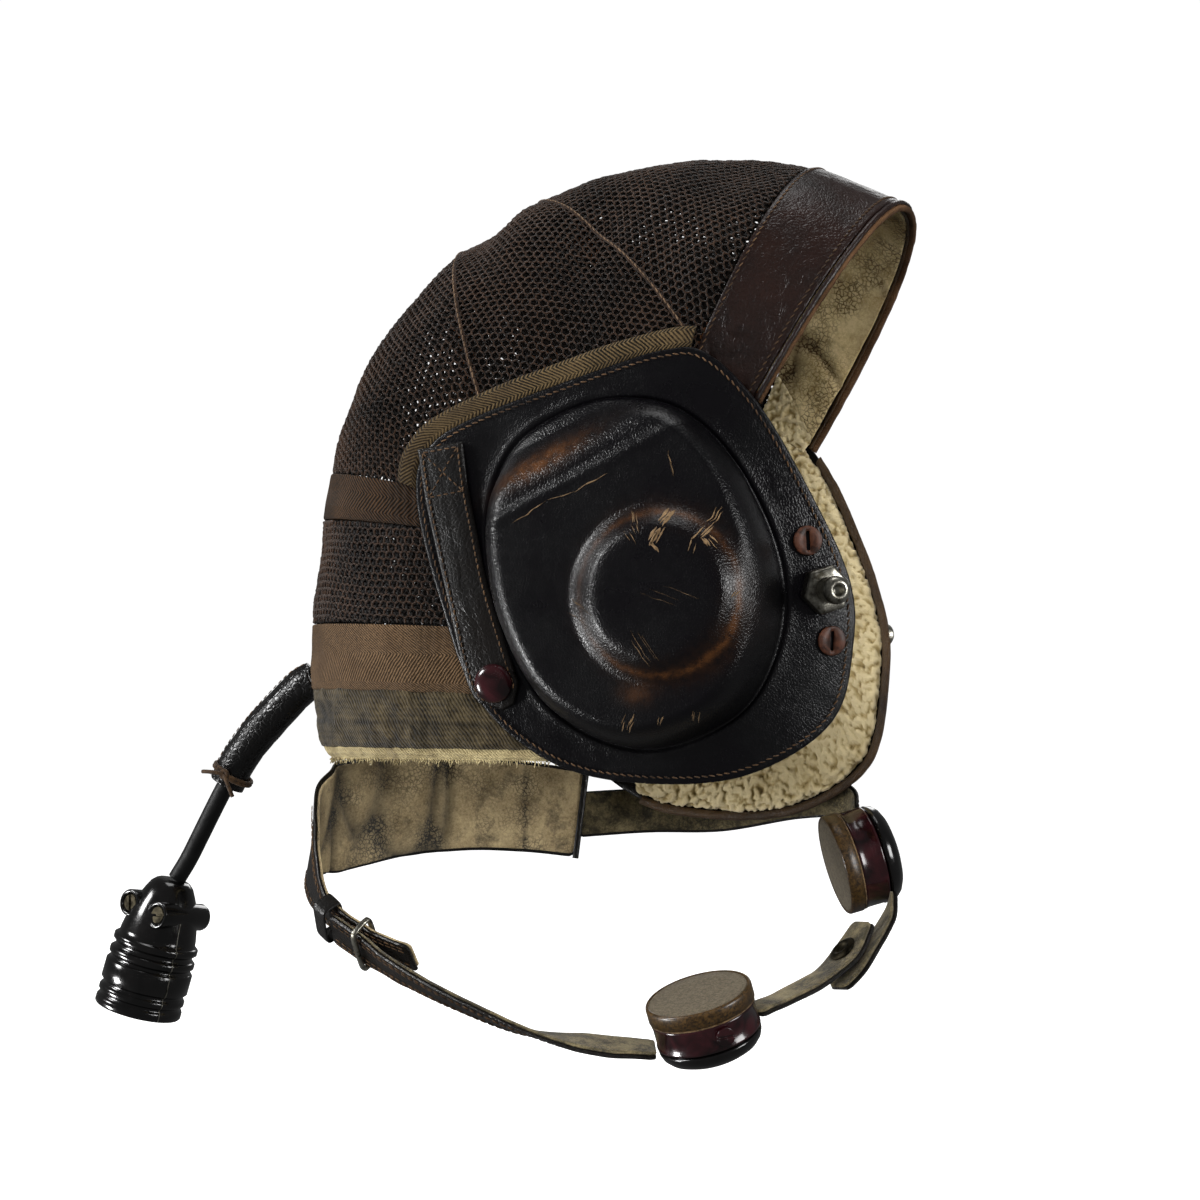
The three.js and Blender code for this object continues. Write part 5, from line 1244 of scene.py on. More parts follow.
def earPanel(side):
    # Rays from the earphone's middle to evenly turned spots on the panel's edge, close rings at the edge and
    # across the dome's wall
    turn = np.linspace(0, 2 * np.pi, side["around"], endpoint=False)
    edgeX = domeCentre[0] + panelRadius(turn) * np.cos(turn) - capsuleCentre[0]
    edgeZ = domeCentre[1] + panelRadius(turn) * np.sin(turn) - capsuleCentre[1]
    edge = np.hypot(edgeX, edgeZ)
    foot = footRadius(np.arctan2(edgeZ, edgeX))
    share = np.linspace(0, 1, side["rings"])
    stops = np.stack([edge, edge - 0.35, edge - 1.3, foot + 4, foot, foot - 3, foot - 8.5,
                      np.minimum(33, foot - 9), 0 * foot + 22, 0 * foot + 1])
    places = np.array([0, 0.03, 0.06, 0.14, 0.25, 0.36, 0.46, 0.7, 0.92, 1.0])
    index = np.clip(np.searchsorted(places, share, side="right") - 1, 0, len(places) - 2)
    part = ((share - places[index]) / (places[index + 1] - places[index]))[:, None]
    radius = stops[index] * (1 - part) + stops[index + 1] * part
    x = capsuleCentre[0] + edgeX / edge * radius
    z = capsuleCentre[1] + edgeZ / edge * radius
    normal = flatNormal(side, x, z, panelDepth)
    points = panelPoint(side, x, z)
    creases = 0.4 * valueNoise(points, 14, 3) + 0.1 * valueNoise(points, 4, 5)
    flat = smoothStep(np.hypot(x - capsuleCentre[0], z - capsuleCentre[1]) - foot, -6, 2)
    half = dome["thickness"] / 2
    rounded = half - half * np.sqrt(1 - (1 - np.clip((edge - radius) / half, 0, 1)) ** 2)
    outer = points + normal * (creases * flat - rounded)[..., None]
    inner = points + normal * (creases * flat - dome["thickness"] + rounded)[..., None]
    middle = [outer[-1].mean(axis=0), inner[-1].mean(axis=0)]
    whole = np.concatenate([outer.reshape(-1, 3), inner.reshape(-1, 3), middle])
    faces = shellFaces(side["rings"], side["around"])
    if side["sign"] < 0:
        faces = [face[::-1] for face in faces]
    panel = makeMesh("ear_dome_" + side["name"], (whole, faces), panelLeather, "black_leather",
                     ("ear_panel_" + side["name"],))
    wear = panelWear(x, z).ravel()
    addAttribute(panel, "wear", np.concatenate([wear, 0 * wear, [0, 0]]))


scuffs = namedRows("x z toX toZ half count spread", [
    (-60.7, -143.3, -48.2, -136, 0.09, 1, 0), (-48.2, -136, -38.4, -132.9, 0.1, 1, 0),
    (-38.4, -132.9, -27.1, -127, 0.13, 1, 0),  # the long scratch below the crease
    (-10.2, -152, -6.8, -146, 0.42, 4, 1.8), (-7, -146.5, -3.2, -139.5, 0.4, 5, 1.9),
    (-7.2, -156, -9.5, -152, 0.22, 3, 2.2), (-18.5, -146.5, -16, -150.5, 0.11, 4, 2.6),
    (-16, -140, -14.5, -146, 0.09, 3, 2.4),  # flakes over the earphone
    (5, -150.8, 8.8, -145, 0.22, 4, 1.5), (8, -146, 12, -139.5, 0.14, 3, 1.5),
    (11, -153.5, 8, -149.5, 0.26, 4, 1.6), (3.4, -155, 4.2, -151, 0.14, 3, 1.4),  # flakes to their right
    (-12, -167, 4, -173, 0.05, 3, 3.5), (-16.8, -182, -9.5, -193.5, 0.06, 4, 2.8),
    (-21.5, -214, -19.5, -209.5, 0.16, 5, 2.8), (-10.5, -213, -9.5, -210, 0.14, 3, 2.0),
    (1, -211, 2.2, -207, 0.12, 3, 2.0), (-6.5, -119, -4.6, -129, 0.05, 2, 1.2),
    (17, -171, 18.5, -167.5, 0.14, 2, 1.2), (-40, -170, -31, -176, 0.05, 3, 5.0),
])


def makeScuffs(side):
    # Flakes and scratches: ragged flat ribbons laid on the leather, each shifted and turned a little
    shapes = []
    share = np.linspace(0, 1, 12)
    for i, row in enumerate(scuffs):
        for k in range(int(row["count"])):
            draw = 2 * latticeHash(np.array([[i, k, n] for n in range(5)], float), 7) - 1
            cut = 0.22 * np.abs(draw[2:4]) if row["count"] > 1 else np.zeros(2)
            t = cut[0] + share * (1 - cut.sum())
            x = row["x"] + (row["toX"] - row["x"]) * t + row["spread"] * draw[0]
            z = row["z"] + (row["toZ"] - row["z"]) * t + row["spread"] * draw[1] * 0.6
            flat = np.stack([x, 0 * x, z], axis=1)
            x = x + 0.45 * valueNoise(flat, 3.1, i + 1)
            z = z + 0.45 * valueNoise(flat, 3.1, i + 2)
            outward = flatNormal(side, x, z, panelDepth, 0.3)
            path = panelPoint(side, x, z) + 0.06 * outward
            ragged = (0.25 + np.sin(np.pi * share)) * (1 + 0.7 * valueNoise(flat, 0.9, k + 3))
            half = row["half"] * (1 + 0.35 * draw[4]) * np.maximum(ragged, 0.15)
            section = circleSection(1, 6)[None] * np.stack([half, 0 * half + 0.06], axis=1)[:, None]
            across = np.cross(np.gradient(path, axis=0), outward)
            shapes.append(sweepSection(path, across, section))
    makeMesh("ear_scuffs_" + side["name"], joinShapes(shapes), scuffedHide, "black_leather")


def liningReach(side, angle):
    # How far the lining goes past the panel's edge: at the top and rear it stops short of what tucks in there
    degrees = np.degrees(angle) % 360
    tucked = smoothStep(degrees, 76, 92) * (1 - smoothStep(degrees, 236, 246))
    short = -tuckUnder - 2 - 0.3 * side["hang"] * smoothStep(degrees, 190, 215)
    return side["reach"] + (short - side["reach"]) * tucked


def flapPoint(side, angle, beyond, lift):
    # Point beside the panel's edge at an angle round the ear's middle, lifted from the head's side
    radius = panelRadius(angle) + beyond
    x = domeCentre[0] + radius * np.cos(angle)
    z = domeCentre[1] + radius * np.sin(angle)
    return np.stack([x, side["sign"] * (sideDepth(x, z) + lift), hung(side, z)], axis=-1)


def earLining(side):
    # A flat ring of pile: its section runs out along the back, round the thin edge and in over the curls,
    # which stand out of it by a lump for each cell
    around, across = side["pile"]
    angle = np.linspace(0, 2 * np.pi, around, endpoint=False)
    section = np.array([[0.36, -1.3], [0.7, -1.3], [0.99, -1.3], [1.0, -2.0], [0.995, -3.6], [0.95, -6.2],
                        [0.88, -7.4], [0.62, -7.6], [0.38, -7.6], [0.35, -6.4], [0.35, -2.6]])
    closed = np.concatenate([section, section[:1]])
    weight = np.where(closed[1:, 1] > -1.5, 12, 75)  # few rows along the back, which lies on the panel
    steps = np.diff(closed, axis=0) * np.stack([weight, 0 * weight + 1], axis=1)
    place = np.concatenate([[0], np.cumsum(np.linalg.norm(steps, axis=1))])
    wanted = np.linspace(0, place[-1], across, endpoint=False)
    share, lift = (np.interp(wanted, place, closed[:, k]) for k in (0, 1))
    edge = panelRadius(angle) + liningReach(side, angle)
    beyond = edge[:, None] * share - panelRadius(angle)[:, None]
    base = flapPoint(side, angle[:, None] + 0 * beyond, beyond, lift + 0 * beyond)
    normal = tubeNormals(base)
    curl = pileCurl(base)
    loose = np.clip(-(lift + 1.6) / 1.5, 0, 1)
    rise = loose * (2.1 * curl + 0.7 * valueNoise(base, 9, 3) - 1.1)
    lining = makeMesh("ear_fleece_" + side["name"], closedTube(base + normal * rise[..., None]), fleece,
                      "fleece", ("ear_lining_" + side["name"],))
    addAttribute(lining, "curlTop", curl)


def tubeNormals(grid):
    # Outward unit normals of a ring-shaped tube given as a grid closed both ways
    alongU = np.roll(grid, -1, axis=0) - np.roll(grid, 1, axis=0)
    alongV = np.roll(grid, -1, axis=1) - np.roll(grid, 1, axis=1)
    normal = unit(np.cross(alongU, alongV))
    outwards = grid - grid.mean(axis=1, keepdims=True)
    return normal if np.sum(normal * outwards) > 0 else -normal


def flapStrip(side, name, degrees, section, count, relief, **made):
    # Section in distance beyond the panel's edge and lift, swept along part of the edge
    angle = np.radians(np.linspace(*degrees, count))
    section = np.array(section, float)
    beyond = section[:, 0] + 0 * angle[:, None]
    lift = section[:, 1] + 0 * angle[:, None]
    grid = flapPoint(side, angle[:, None] + 0 * beyond, beyond, lift)
    centre = grid.mean(axis=1, keepdims=True)
    grid = grid + unit(grid - centre) * relief(grid)[..., None]
    length = pathLength(centre[:, 0])
    uv = np.stack([np.repeat(length, len(section)), np.tile(section[:, 0] + 3, count)], axis=1)
    makeMesh(name + side["name"], cappedTube(grid), uv=np.concatenate([uv, uv[:1], uv[-1:]]), **made)


def edgeTrims(side):
    # Leather binding down the front and round the chin, tape along the top, and stitches all round
    turn = np.linspace(0, 2 * np.pi, 14, endpoint=False)
    section = np.stack([side["reach"] + 2.2 + 1.85 * np.cos(turn), -2.1 + 2.1 * np.sin(turn)], axis=1)
    flapStrip(side, "ear_bound_edge_", (-113, 51), section, 220,
              lambda p: 0.22 * valueNoise(p, 5, 2) + 0.1 * valueNoise(p, 2, 3), material=bindingLeather,
              slotName="brown_leather", replaced=("ear_binding_" + side["name"],))
    tape = [[-0.4, 2.2], [3, 1.65], [6.9, 1.5], [7.6, 1.9], [7.2, 2.5], [5.0, 3.0], [2.5, 3.1], [0, 3.0]]
    flapStrip(side, "ear_twill_tape_", (75, 158), tape, 220,
              lambda p: 0.3 * valueNoise(p, 7, 2), material=oliveTape, slotName="tape_olive",
              replaced=("ear_edge_tape_" + side["name"],))
    angle = np.radians(np.linspace(0, 360, 700))
    line = flapPoint(side, angle, -2.6, dome["lift"] + 0.25)
    normal = flatNormal(side, line[:, 0], line[:, 2], sideDepth)
    makeMesh("panel_stitches_" + side["name"], stitchRow(line, normal, 2.6, 2.1, 0.27, 0.3), linenThread,
             "black_leather")


tabRows = namedRows("x z half", [
    (-91.5, -113.6, 8.4), (-89, -131.1, 8.2), (-86, -146.1, 8), (-81.8, -166.1, 7.8),  # sewn end to waist
    (-74.6, -194.1, 9), (-71, -200.6, 7.6), (-68, -206.1, 2.2),  # snap to point
])
tabStitches = namedRows("place across toPlace toAcross count", [
    (0.1, -0.78, 5.3, -0.78, 90), (0.1, 0.78, 5.3, 0.78, 90),  # down both edges
    (0.1, -0.78, 0.1, 0.78, 8), (1, -0.78, 1, 0.78, 8),  # the square's two ends
    (0.1, -0.78, 1, 0.78, 12), (0.1, 0.78, 1, -0.78, 12),  # the cross in it
])


def tabSpot(side, place, across, lift):
    # Point on the tab at a place along its rows, across its width by a share of its half, and its lift
    x, z, half = (tableCurve(tabRows, key, place) for key in ("x", "z", "half"))
    dx = tableCurve(tabRows, "x", place + 0.1) - tableCurve(tabRows, "x", place - 0.1)
    dz = tableCurve(tabRows, "z", place + 0.1) - tableCurve(tabRows, "z", place - 0.1)
    length = np.hypot(dx, dz)
    x = x - dz / length * half * across
    z = z + dx / length * half * across
    return np.stack([x, side["sign"] * (sideDepth(x, z) + lift), hung(side, z)], axis=-1)


def goggleTab(side):
    # Two layers of leather, rounded at the edges and padded a little between the rows of stitches
    place = np.concatenate([[0, 0.01, 0.03], np.linspace(0.06, 5.9, 110), [5.95, 5.985, 6]])
    across = np.concatenate([[-1, -0.985, -0.94, -0.88], np.linspace(-0.8, 0.8, 15), [0.88, 0.94, 0.985, 1]])
    p, a = np.meshgrid(place, across, indexing="ij")
    half = tableCurve(tabRows, "half", p)
    nearest = np.minimum((1 - np.abs(a)) * half, np.minimum(p * 17, (6 - p) * 8))
    share = np.sqrt(1 - (1 - np.clip(nearest / 1.1, 0, 1)) ** 2)
    base = tabSpot(side, p, a, 4.1)
    pad = 0.6 * bell((np.abs(a) - 0.2) / 0.5) + 0.3 * valueNoise(base, 9, 3)
    low, high = 4.1 + 1.0 * (1 - share), 5.2 + 1.0 * share + pad * np.clip(nearest / 3, 0, 1)
    makeMesh("goggle_tab_leather_" + side["name"], slab(tabSpot(side, p, a, high), tabSpot(side, p, a, low)),
             strapLeather, "black_leather", ("goggle_tab_" + side["name"],))
    shapes = []
    for row in tabStitches:
        t = np.linspace(0, 1, row["count"])
        line = tabSpot(side, row["place"] + (row["toPlace"] - row["place"]) * t,
                       row["across"] + (row["toAcross"] - row["across"]) * t, 6.35)
        normal = flatNormal(side, line[:, 0], line[:, 2], sideDepth)
        shapes.append(stitchRow(line, normal, 2.3, 1.8, 0.29, 0.12))
    makeMesh("tab_stitches_" + side["name"], joinShapes(shapes), linenThread, "black_leather")


fittings = {"snap": (-72.8, -197.8), "upperWasher": (36.8, -148.7), "lowerWasher": (44, -183.2),
            "stud": (41.5, -165.6)}


def fittingSeat(side, spot, lift):
    # Place and outward direction of a fitting on the flat of the panel
    x, z = np.array([float(spot[0])]), np.array([float(spot[1])])
    normal = flatNormal(side, x, z, sideDepth, 2)[0]
    place = np.array([x[0], side["sign"] * (sideDepth(x, z)[0] + lift), hung(side, z)[0]])
    return place, normal


def addTurned(name, profile, sides, seat, material, slotName, replaced=(), spin=0.0, ripple=None):
    turned = stoodOn(turnedProfile(profile, sides, ripple), seat, spin)
    return makeMesh(name, turned, material, slotName, replaced)


washer = {"radius": 5.2, "slotHalf": 3.4, "slotWide": 0.75, "height": 0.95, "turn": 2.1}


def slottedDisc(seat):
    # Points and faces of a thin disc with a narrow slot through its middle
    angle = np.linspace(0, 2 * np.pi, 64, endpoint=False)
    slotWide, height = washer["slotWide"], washer["height"]
    hole = np.clip(slotWide / np.maximum(np.abs(np.sin(angle)), 1e-3), slotWide, washer["slotHalf"])
    outer = np.full_like(angle, washer["radius"])
    section = [(outer, 0), (outer, height * 0.7), (outer - 0.3, height), (hole, height), (hole, 0)]
    rings = [np.stack([r * np.cos(angle), r * np.sin(angle), 0 * r + z], axis=1) for r, z in section]
    return stoodOn(closedTube(np.stack(rings)), seat, washer["turn"])


def hexRipple(angle):
    # Radius of a hexagon as a share of the distance to the middle of its sides
    return 1 / np.cos((angle + np.pi / 6) % (np.pi / 3) - np.pi / 6)


snapCap = [(6.0, 0), (6.8, 0.3), (6.95, 0.8), (6.7, 1.5), (6.0, 2.3), (4.8, 2.95), (3.2, 3.3), (1.6, 3.42),
           (0.4, 3.44)]
studNut = [(7.0, 0), (7.55, 0.25), (7.7, 0.9), (7.7, 4.4), (7.4, 5.1), (6.6, 5.6), (4.6, 5.7)]
studPin = [(4.5, 0), (4.5, 5.8), (4.9, 6.2), (4.9, 7.0), (4.4, 7.7), (3.8, 8.6), (3.0, 9.0), (2.1, 9.0),
           (1.9, 8.6), (1.9, 6.2), (0.5, 6.0)]  # up the outside, over the rim and down into the hollow end


def earFittings(side):
    name = side["name"]
    addTurned("snap_cap_" + name, snapCap, 40, fittingSeat(side, fittings["snap"], 6.6), maroonPlastic,
              "maroon_plastic", ("snap_button_" + name,))
    for key in ("upper", "lower"):
        disc = slottedDisc(fittingSeat(side, fittings[key + "Washer"], 4.0))
        makeMesh(f"washer_disc_{key}_{name}", disc, vulcanFibre, "washer", (f"washer_{key}_{name}",))
    place, out = fittingSeat(side, fittings["stud"], 4.3)
    addTurned("stud_hexagon_" + name, studNut, 72, (place, out), nickelPlate, "steel", ("stud_nut_" + name,),
              0.3, hexRipple)
    addTurned("stud_post_" + name, studPin, 40, (place + 6.0 * out, out), nickelPlate, "steel",
              ("stud_pin_" + name,))


for side in flapSides:
    earPanel(side)
    earLining(side)
    edgeTrims(side)
    goggleTab(side)
    earFittings(side)
makeScuffs(flapSides[0])
print("ear flaps made")


# Throat loop: leather straps lined with suede, buckle, keeper, snap and two microphones

strapKeys = "x y z width face"
strapRows = {
    "collar": namedRows(strapKeys, [
        (-76.6, 62, -248.2, 36, (0.05, -1, 0.04)),  # left end
        (-98, 57, -245.5, 37, (0.42, -0.9, 0)),
        (-123, 45.5, -243.8, 39, (0.66, -0.75, -0.05)),
        (-146, 27, -245.2, 43, (0.86, -0.5, -0.1)),
        (-158.5, 8, -248.1, 45, (0.98, -0.1, -0.1)),  # rear
        (-163.5, -9, -254.1, 39, (0.9, 0.4, 0.08)),
        (-161.5, -21, -264.6, 28, (0.62, 0.72, 0.3)),  # narrowing
        (-156, -29.5, -275.1, 21, (0.48, 0.74, 0.46)),
        (-147.5, -35, -283.6, 17, (0.45, 0.66, 0.6)),  # keeper
        (-131.5, -40, -292.1, 17, (0.27, 0.66, 0.7)),  # buckle
        (-112.5, -45, -297.6, 17, (0.2, 0.6, 0.77)),  # tail end
    ]),
    "strap_right_rear": namedRows(strapKeys, [
        (-146.5, -38.4, -287.7, 17, (0.4, 0.66, 0.63)),  # in the keeper
        (-131.2, -43, -295.9, 17, (0.27, 0.66, 0.7)),
        (-117, -48.6, -302.7, 17, (0.27, 0.55, 0.79)),
        (-95, -53, -311.8, 17, (0.27, 0.42, 0.87)),
        (-69.5, -52, -321.5, 17, (0.2, 0.25, 0.95)),
        (-45, -49, -326.1, 17, (0.05, -0.2, 0.98)),  # lowest
    ]),
    "strap_right_front": namedRows(strapKeys, [
        (20, -10, -312.1, 16, (-0.5, -0.45, 0.74)),
        (32, 0, -305.6, 17, (-0.66, -0.5, 0.56)),
        (40, 8, -297.6, 19, (-0.72, -0.6, 0.36)),  # snap
        (46, 14, -286.6, 14, (-0.76, -0.6, 0.2)),  # tab end
    ]),
    "strap_left_front": namedRows(strapKeys, [
        (51.8, 23.5, -289.1, 17, (-0.82, -0.52, 0.2)),
        (44, 10.4, -300.7, 18, (-0.72, -0.6, 0.36)),  # outside the snap
        (37.5, 3.5, -310.1, 13, (-0.66, -0.5, 0.56)),
    ]),
    "strap_left_rear": namedRows(strapKeys, [
        (-79.5, 67, -248.8, 19, (0.02, -1, 0.15)),  # at the collar
        (-50, 73, -247, 18.5, (0, -0.97, 0.2)),
        (-20, 76.5, -247.6, 16, (-0.15, -0.97, 0.1)),  # under the ear
        (12, 72.2, -242.1, 16, (-0.4, -0.9, 0)),
        (32.5, 64, -242.5, 15, (-0.65, -0.75, -0.1)),  # chin
    ]),
}
mics = {
    "right": {"centre": (-3.6, -38, -323.2), "axis": (-0.2, -0.3, 0.933), "turn": 0.5},
    "left": {"centre": (47.2, 39.5, -262.1), "axis": (-0.907, -0.325, -0.268), "turn": 2.2},
}
micLook = {"radius": 19.2, "domeDepth": 8, "bodyDepth": 9.8, "capDepth": 5.8, "gap": 0.4}


def micStation(mic, row, width):
    # Where a strap that comes from the given row meets a microphone's rim
    axis = unit(np.array(mic["axis"]))
    toward = np.array([row["x"], row["y"], row["z"]]) - mic["centre"]
    toward = unit(toward - toward @ axis * axis) * (micLook["radius"] + 0.8)
    x, y, z = np.array(mic["centre"]) + toward
    return {"x": x, "y": y, "z": z, "width": width, "face": tuple(axis)}


for side, mic in mics.items():
    front, rear = strapRows[f"strap_{side}_front"], strapRows[f"strap_{side}_rear"]
    rear.append(micStation(mic, rear[-1], 16))
    front.insert(0, micStation(mic, front[0], 16))


def strapFrame(rows, place):
    # Middle points, directions along, across and towards the inner face, and half widths at some places
    def middle(p):
        return np.stack([tableCurve(rows, key, p) for key in ("x", "y", "z")], axis=-1)

    last = len(rows) - 1
    along = unit(middle(np.minimum(place + 0.05, last)) - middle(np.maximum(place - 0.05, 0)))
    faces = np.array([row["face"] for row in rows], float)
    looks = np.stack([curveThrough(faces[:, k], place) for k in range(3)], axis=-1)
    across = unit(np.cross(along, looks))
    face = unit(np.cross(across, along))
    return middle(place), along, across, face, tableCurve(rows, "width", place) / 2


def strapLayer(name, rows, low, high, relief, inset=0.0, count=84, columns=12, hollow=None, **made):
    # Layer of a strap between two depths, counted towards its inner face, with rounded edges and its relief
    last = len(rows) - 1
    near = np.array([0, 0.004, 0.012])
    place = np.concatenate([near, np.linspace(0.03, last - 0.03, count), last - near[::-1]])
    spread = np.sin(np.linspace(-1, 1, columns) * np.pi / 2)
    middle, along, across, face, half = strapFrame(rows, place)
    half = half - inset
    length = pathLength(middle)
    ends = np.minimum(length, length[-1] - length)
    corner = 2.5  # radius of a strap's corners
    half = half - corner * (1 - np.sqrt(1 - (1 - np.clip(ends / corner, 0, 1)) ** 2))
    nearest = np.minimum((1 - np.abs(spread)) * half[:, None], ends[:, None])
    deep = (high - low) / 2
    share = np.sqrt(1 - (1 - np.clip(nearest / deep, 0, 1)) ** 2)
    base = middle[:, None] + across[:, None] * (half[:, None] * spread)[..., None]
    lift = relief(base, spread * half[:, None])
    centre = (low + high) / 2
    inner = base + face[:, None] * (centre + deep * share + lift)[..., None]
    outer = base + face[:, None] * (centre - deep * share + lift)[..., None]
    uv = np.stack(np.broadcast_arrays(length[:, None], half[:, None] * spread), axis=-1).reshape(-1, 2)
    piece = makeMesh(name, slab(outer, inner), uv=uv, **made)
    if hollow:
        addAttribute(piece, "hollow", hollow(base))


def strapStitches(name, rows, offsets, depth, fromPlace, toPlace):
    # Rows of stitches along a strap at distances from its edges, on its outer face for a depth below zero
    middle, along, across, face, half = strapFrame(rows, np.linspace(fromPlace, toPlace, 240))
    shapes = []
    for offset in offsets:
        line = middle + across * (np.sign(offset) * (half - abs(offset)))[:, None] + face * depth
        shapes.append(stitchRow(line, face * np.sign(depth), 3.0, 2.4, 0.24, 0.15))
    makeMesh(name, joinShapes(shapes), linenThread, "black_leather")


def collarHollow(points):
    # Deep valleys down the collar where it bends round the neck, and one stitched line down its flat front.
    # On the suede both are also painted shade
    bent = smoothStep(-points[..., 0], 108, 130) * smoothStep(points[..., 1], -14, 2)
    folds = (1 - np.abs(valueNoise(points * (1, 1, 0.2) + (0, 0, 3), 11, 6))) ** 5
    line = bell((points[..., 0] + 98.5) / 1.0) * (points[..., 1] > 0)
    return np.clip(bent * folds + line * (0.55 + 0.6 * valueNoise(points, 5, 4)), 0, 1)


def collarRelief(points, across):
    # The collar bulges between its valleys
    bent = smoothStep(-points[..., 0], 108, 130) * smoothStep(points[..., 1], -14, 2)
    return (0.5 + 3.2 * bent) * (0.35 - collarHollow(points)) + 0.35 * valueNoise(points, 7, 2)


def plainRelief(points, across):
    return 0.22 * valueNoise(points, 7, 8)


def makeStraps():
    collar = strapRows["collar"]
    strapLayer("collar_outside", collar, -1.35, 0.0, collarRelief, count=180, columns=16,
               material=strapLeather, slotName="black_leather", replaced=("collar",))
    strapLayer("collar_inside", collar, 0.05, 1.25, collarRelief, inset=1.3, count=240, columns=24,
               hollow=collarHollow, material=suede, slotName="suede", replaced=("collar",))
    strapStitches("collar_stitches", collar, (2.2, -2.2, 4.4, -4.4), -1.45, 5.2, 9.9)
    bound = np.array([[-0.6, -1.7], [1.3, -1.7], [1.9, -1], [1.9, 1.2], [1.3, 1.9], [-0.6, 1.9]])
    middle, along, across, face, half = strapFrame(collar, np.zeros(40))
    line = middle + across * (half * np.linspace(-1.02, 1.02, 40))[:, None]
    lift = bound[:, 1:] + collarRelief(line, 0)[:, None, None]
    grid = line[:, None] - bound[:, :1] * along[:, None] + lift * face[:, None]
    makeMesh("collar_bound_end", cappedTube(grid), strapLeather, "black_leather", ("collar",))
    for name in ("strap_right_rear", "strap_right_front", "strap_left_front", "strap_left_rear"):
        rows = strapRows[name]
        last = len(rows) - 1
        strapLayer(name + "_outside", rows, -1.3, 0.1, plainRelief, material=strapLeather,
                   slotName="black_leather", replaced=(name,))
        strapLayer(name + "_inside", rows, 0.15, 1.3, plainRelief, inset=0.9, material=strapSuede,
                   slotName="suede", replaced=(name,))
        strapStitches(name + "_stitches", rows, (2.0, -2.0, 4.2, -4.2), -1.36, 0.1, last - 0.15)


def roundedBox(count, power):
    # Points of a superellipse from -1 to 1 both ways: the lower the power, the squarer it is
    circle = circleSection(1, count)
    return np.sign(circle) * np.abs(circle) ** power


def boxLoop(place, outerHalf, innerHalf, deepHalf):
    # Points and faces of a rounded rectangular loop round the strap, on its outer side
    middle, along, across, face, _ = strapFrame(strapRows["collar"], np.array([place]))
    shape, section = roundedBox(120, 0.32), roundedBox(16, 0.6)
    outerHalf, innerHalf = np.array(outerHalf), np.array(innerHalf)
    out = unit(shape / outerHalf)
    flat = ((outerHalf + innerHalf) / 2 * shape)[:, None] + (
        out[:, None] * section[:, :1] * (outerHalf - innerHalf) / 2)
    centre = middle - 2.1 * face
    return closedTube(centre + flat[..., :1] * across + flat[..., 1:] * face
                      + (section[:, 1:] * deepHalf) * along)


def makeBuckle():
    makeMesh("keeper_loop", boxLoop(8, (9.8, 4.6), (8.7, 3.5), 3.4), strapLeather, "black_leather",
             ("strap_keeper",))
    makeMesh("buckle_frame", boxLoop(9, (12, 5.6), (9.8, 4), 1.1), nickelPlate, "steel", ("buckle",))
    middle, along, across, face, _ = strapFrame(strapRows["collar"], np.array([9.0]))
    start = middle - 3.9 * face  # the prong lies over the strap and rests on the frame
    prong = strands(start - 1.5 * along, start + 9 * along - 1.1 * face, 0.9,
                    [(0.02, 0.7), (0.1, 1), (0.9, 0.9), (0.98, 0.5)], 8)
    makeMesh("buckle_prong", prong, nickelPlate, "steel")


def makeMic(name, mic):
    centre, axis = np.array(mic["centre"]), unit(np.array(mic["axis"]))
    r, gap = micLook["radius"], micLook["gap"]
    dome = [(0.4, 0), (r * 0.3, 0.15), (r * 0.55, 0.7), (r * 0.74, 1.6), (r * 0.87, 2.9), (r * 0.95, 4.6),
            (r * 0.985, 6.4), (r * 0.99, 7.4), (r * 0.975, 7.8), (0.4, 7.8)]
    seat = (centre - axis * micLook["domeDepth"], axis)
    addTurned("mic_dome_" + name, dome, 72, seat, blackPlastic, "black_plastic", ("mic_back_" + name,))
    depth = micLook["bodyDepth"]
    body = [(r * 0.97, 0), (r, 0.35), (r, 1.0), (r * 0.985, 1.4), (r * 0.985, depth - 1.4), (r, depth - 1.0),
            (r, depth - 0.3), (r * 0.975, depth)]
    addTurned("mic_ring_" + name, body, 72, (centre + gap * axis, axis), maroonPlastic, "maroon_plastic",
              ("mic_body_" + name,))
    start = centre + axis * (depth + 2 * gap)
    line = [(r * 0.96, -0.5), (r * 1.004, -0.45), (r * 1.012, -0.15), (r * 1.004, 0.1), (r * 0.96, 0.1)]
    addTurned("mic_seam_" + name, line, 72, (start, axis), scuffedHide, "gold_plastic")
    deep = micLook["capDepth"]
    cap = [(r * 0.99, 0.1), (r * 1.02, 0.3), (r * 1.02, deep - 1.1), (r * 1.012, deep - 0.5),
           (r * 0.995, deep - 0.1), (r * 0.97, deep + 0.02), (r * 0.955, deep - 0.05),
           (r * 0.945, deep - 0.3), (0.4, deep - 0.3)]
    addTurned("mic_lid_" + name, cap, 72, (start, axis), goldPlastic, "gold_plastic", ("mic_cap_" + name,))
    face = [(r * 0.94, deep - 0.6), (r * 0.94, deep - 0.22), (r * 0.92, deep - 0.12), (r * 0.6, deep - 0.1),
            (r * 0.3, deep - 0.12), (0.4, deep - 0.12)]
    addTurned("mic_face_" + name, face, 72, (start, axis), paintedFace, "gold_plastic")
    out = unit(np.array([0, -1.0, 0]) + axis * axis[1])
    turn = mic["turn"]
    out = out * math.cos(turn) + np.cross(axis, out) * math.sin(turn)
    base = centre + axis * (gap + depth / 2) + out * (r * 0.985 + 0.2)
    slottedScrew("mic_slotted_screw_" + name, (base, out), 3.4, 1.0, maroonPlastic, "maroon_plastic",
                 ("mic_screw_" + name,), 0.7)


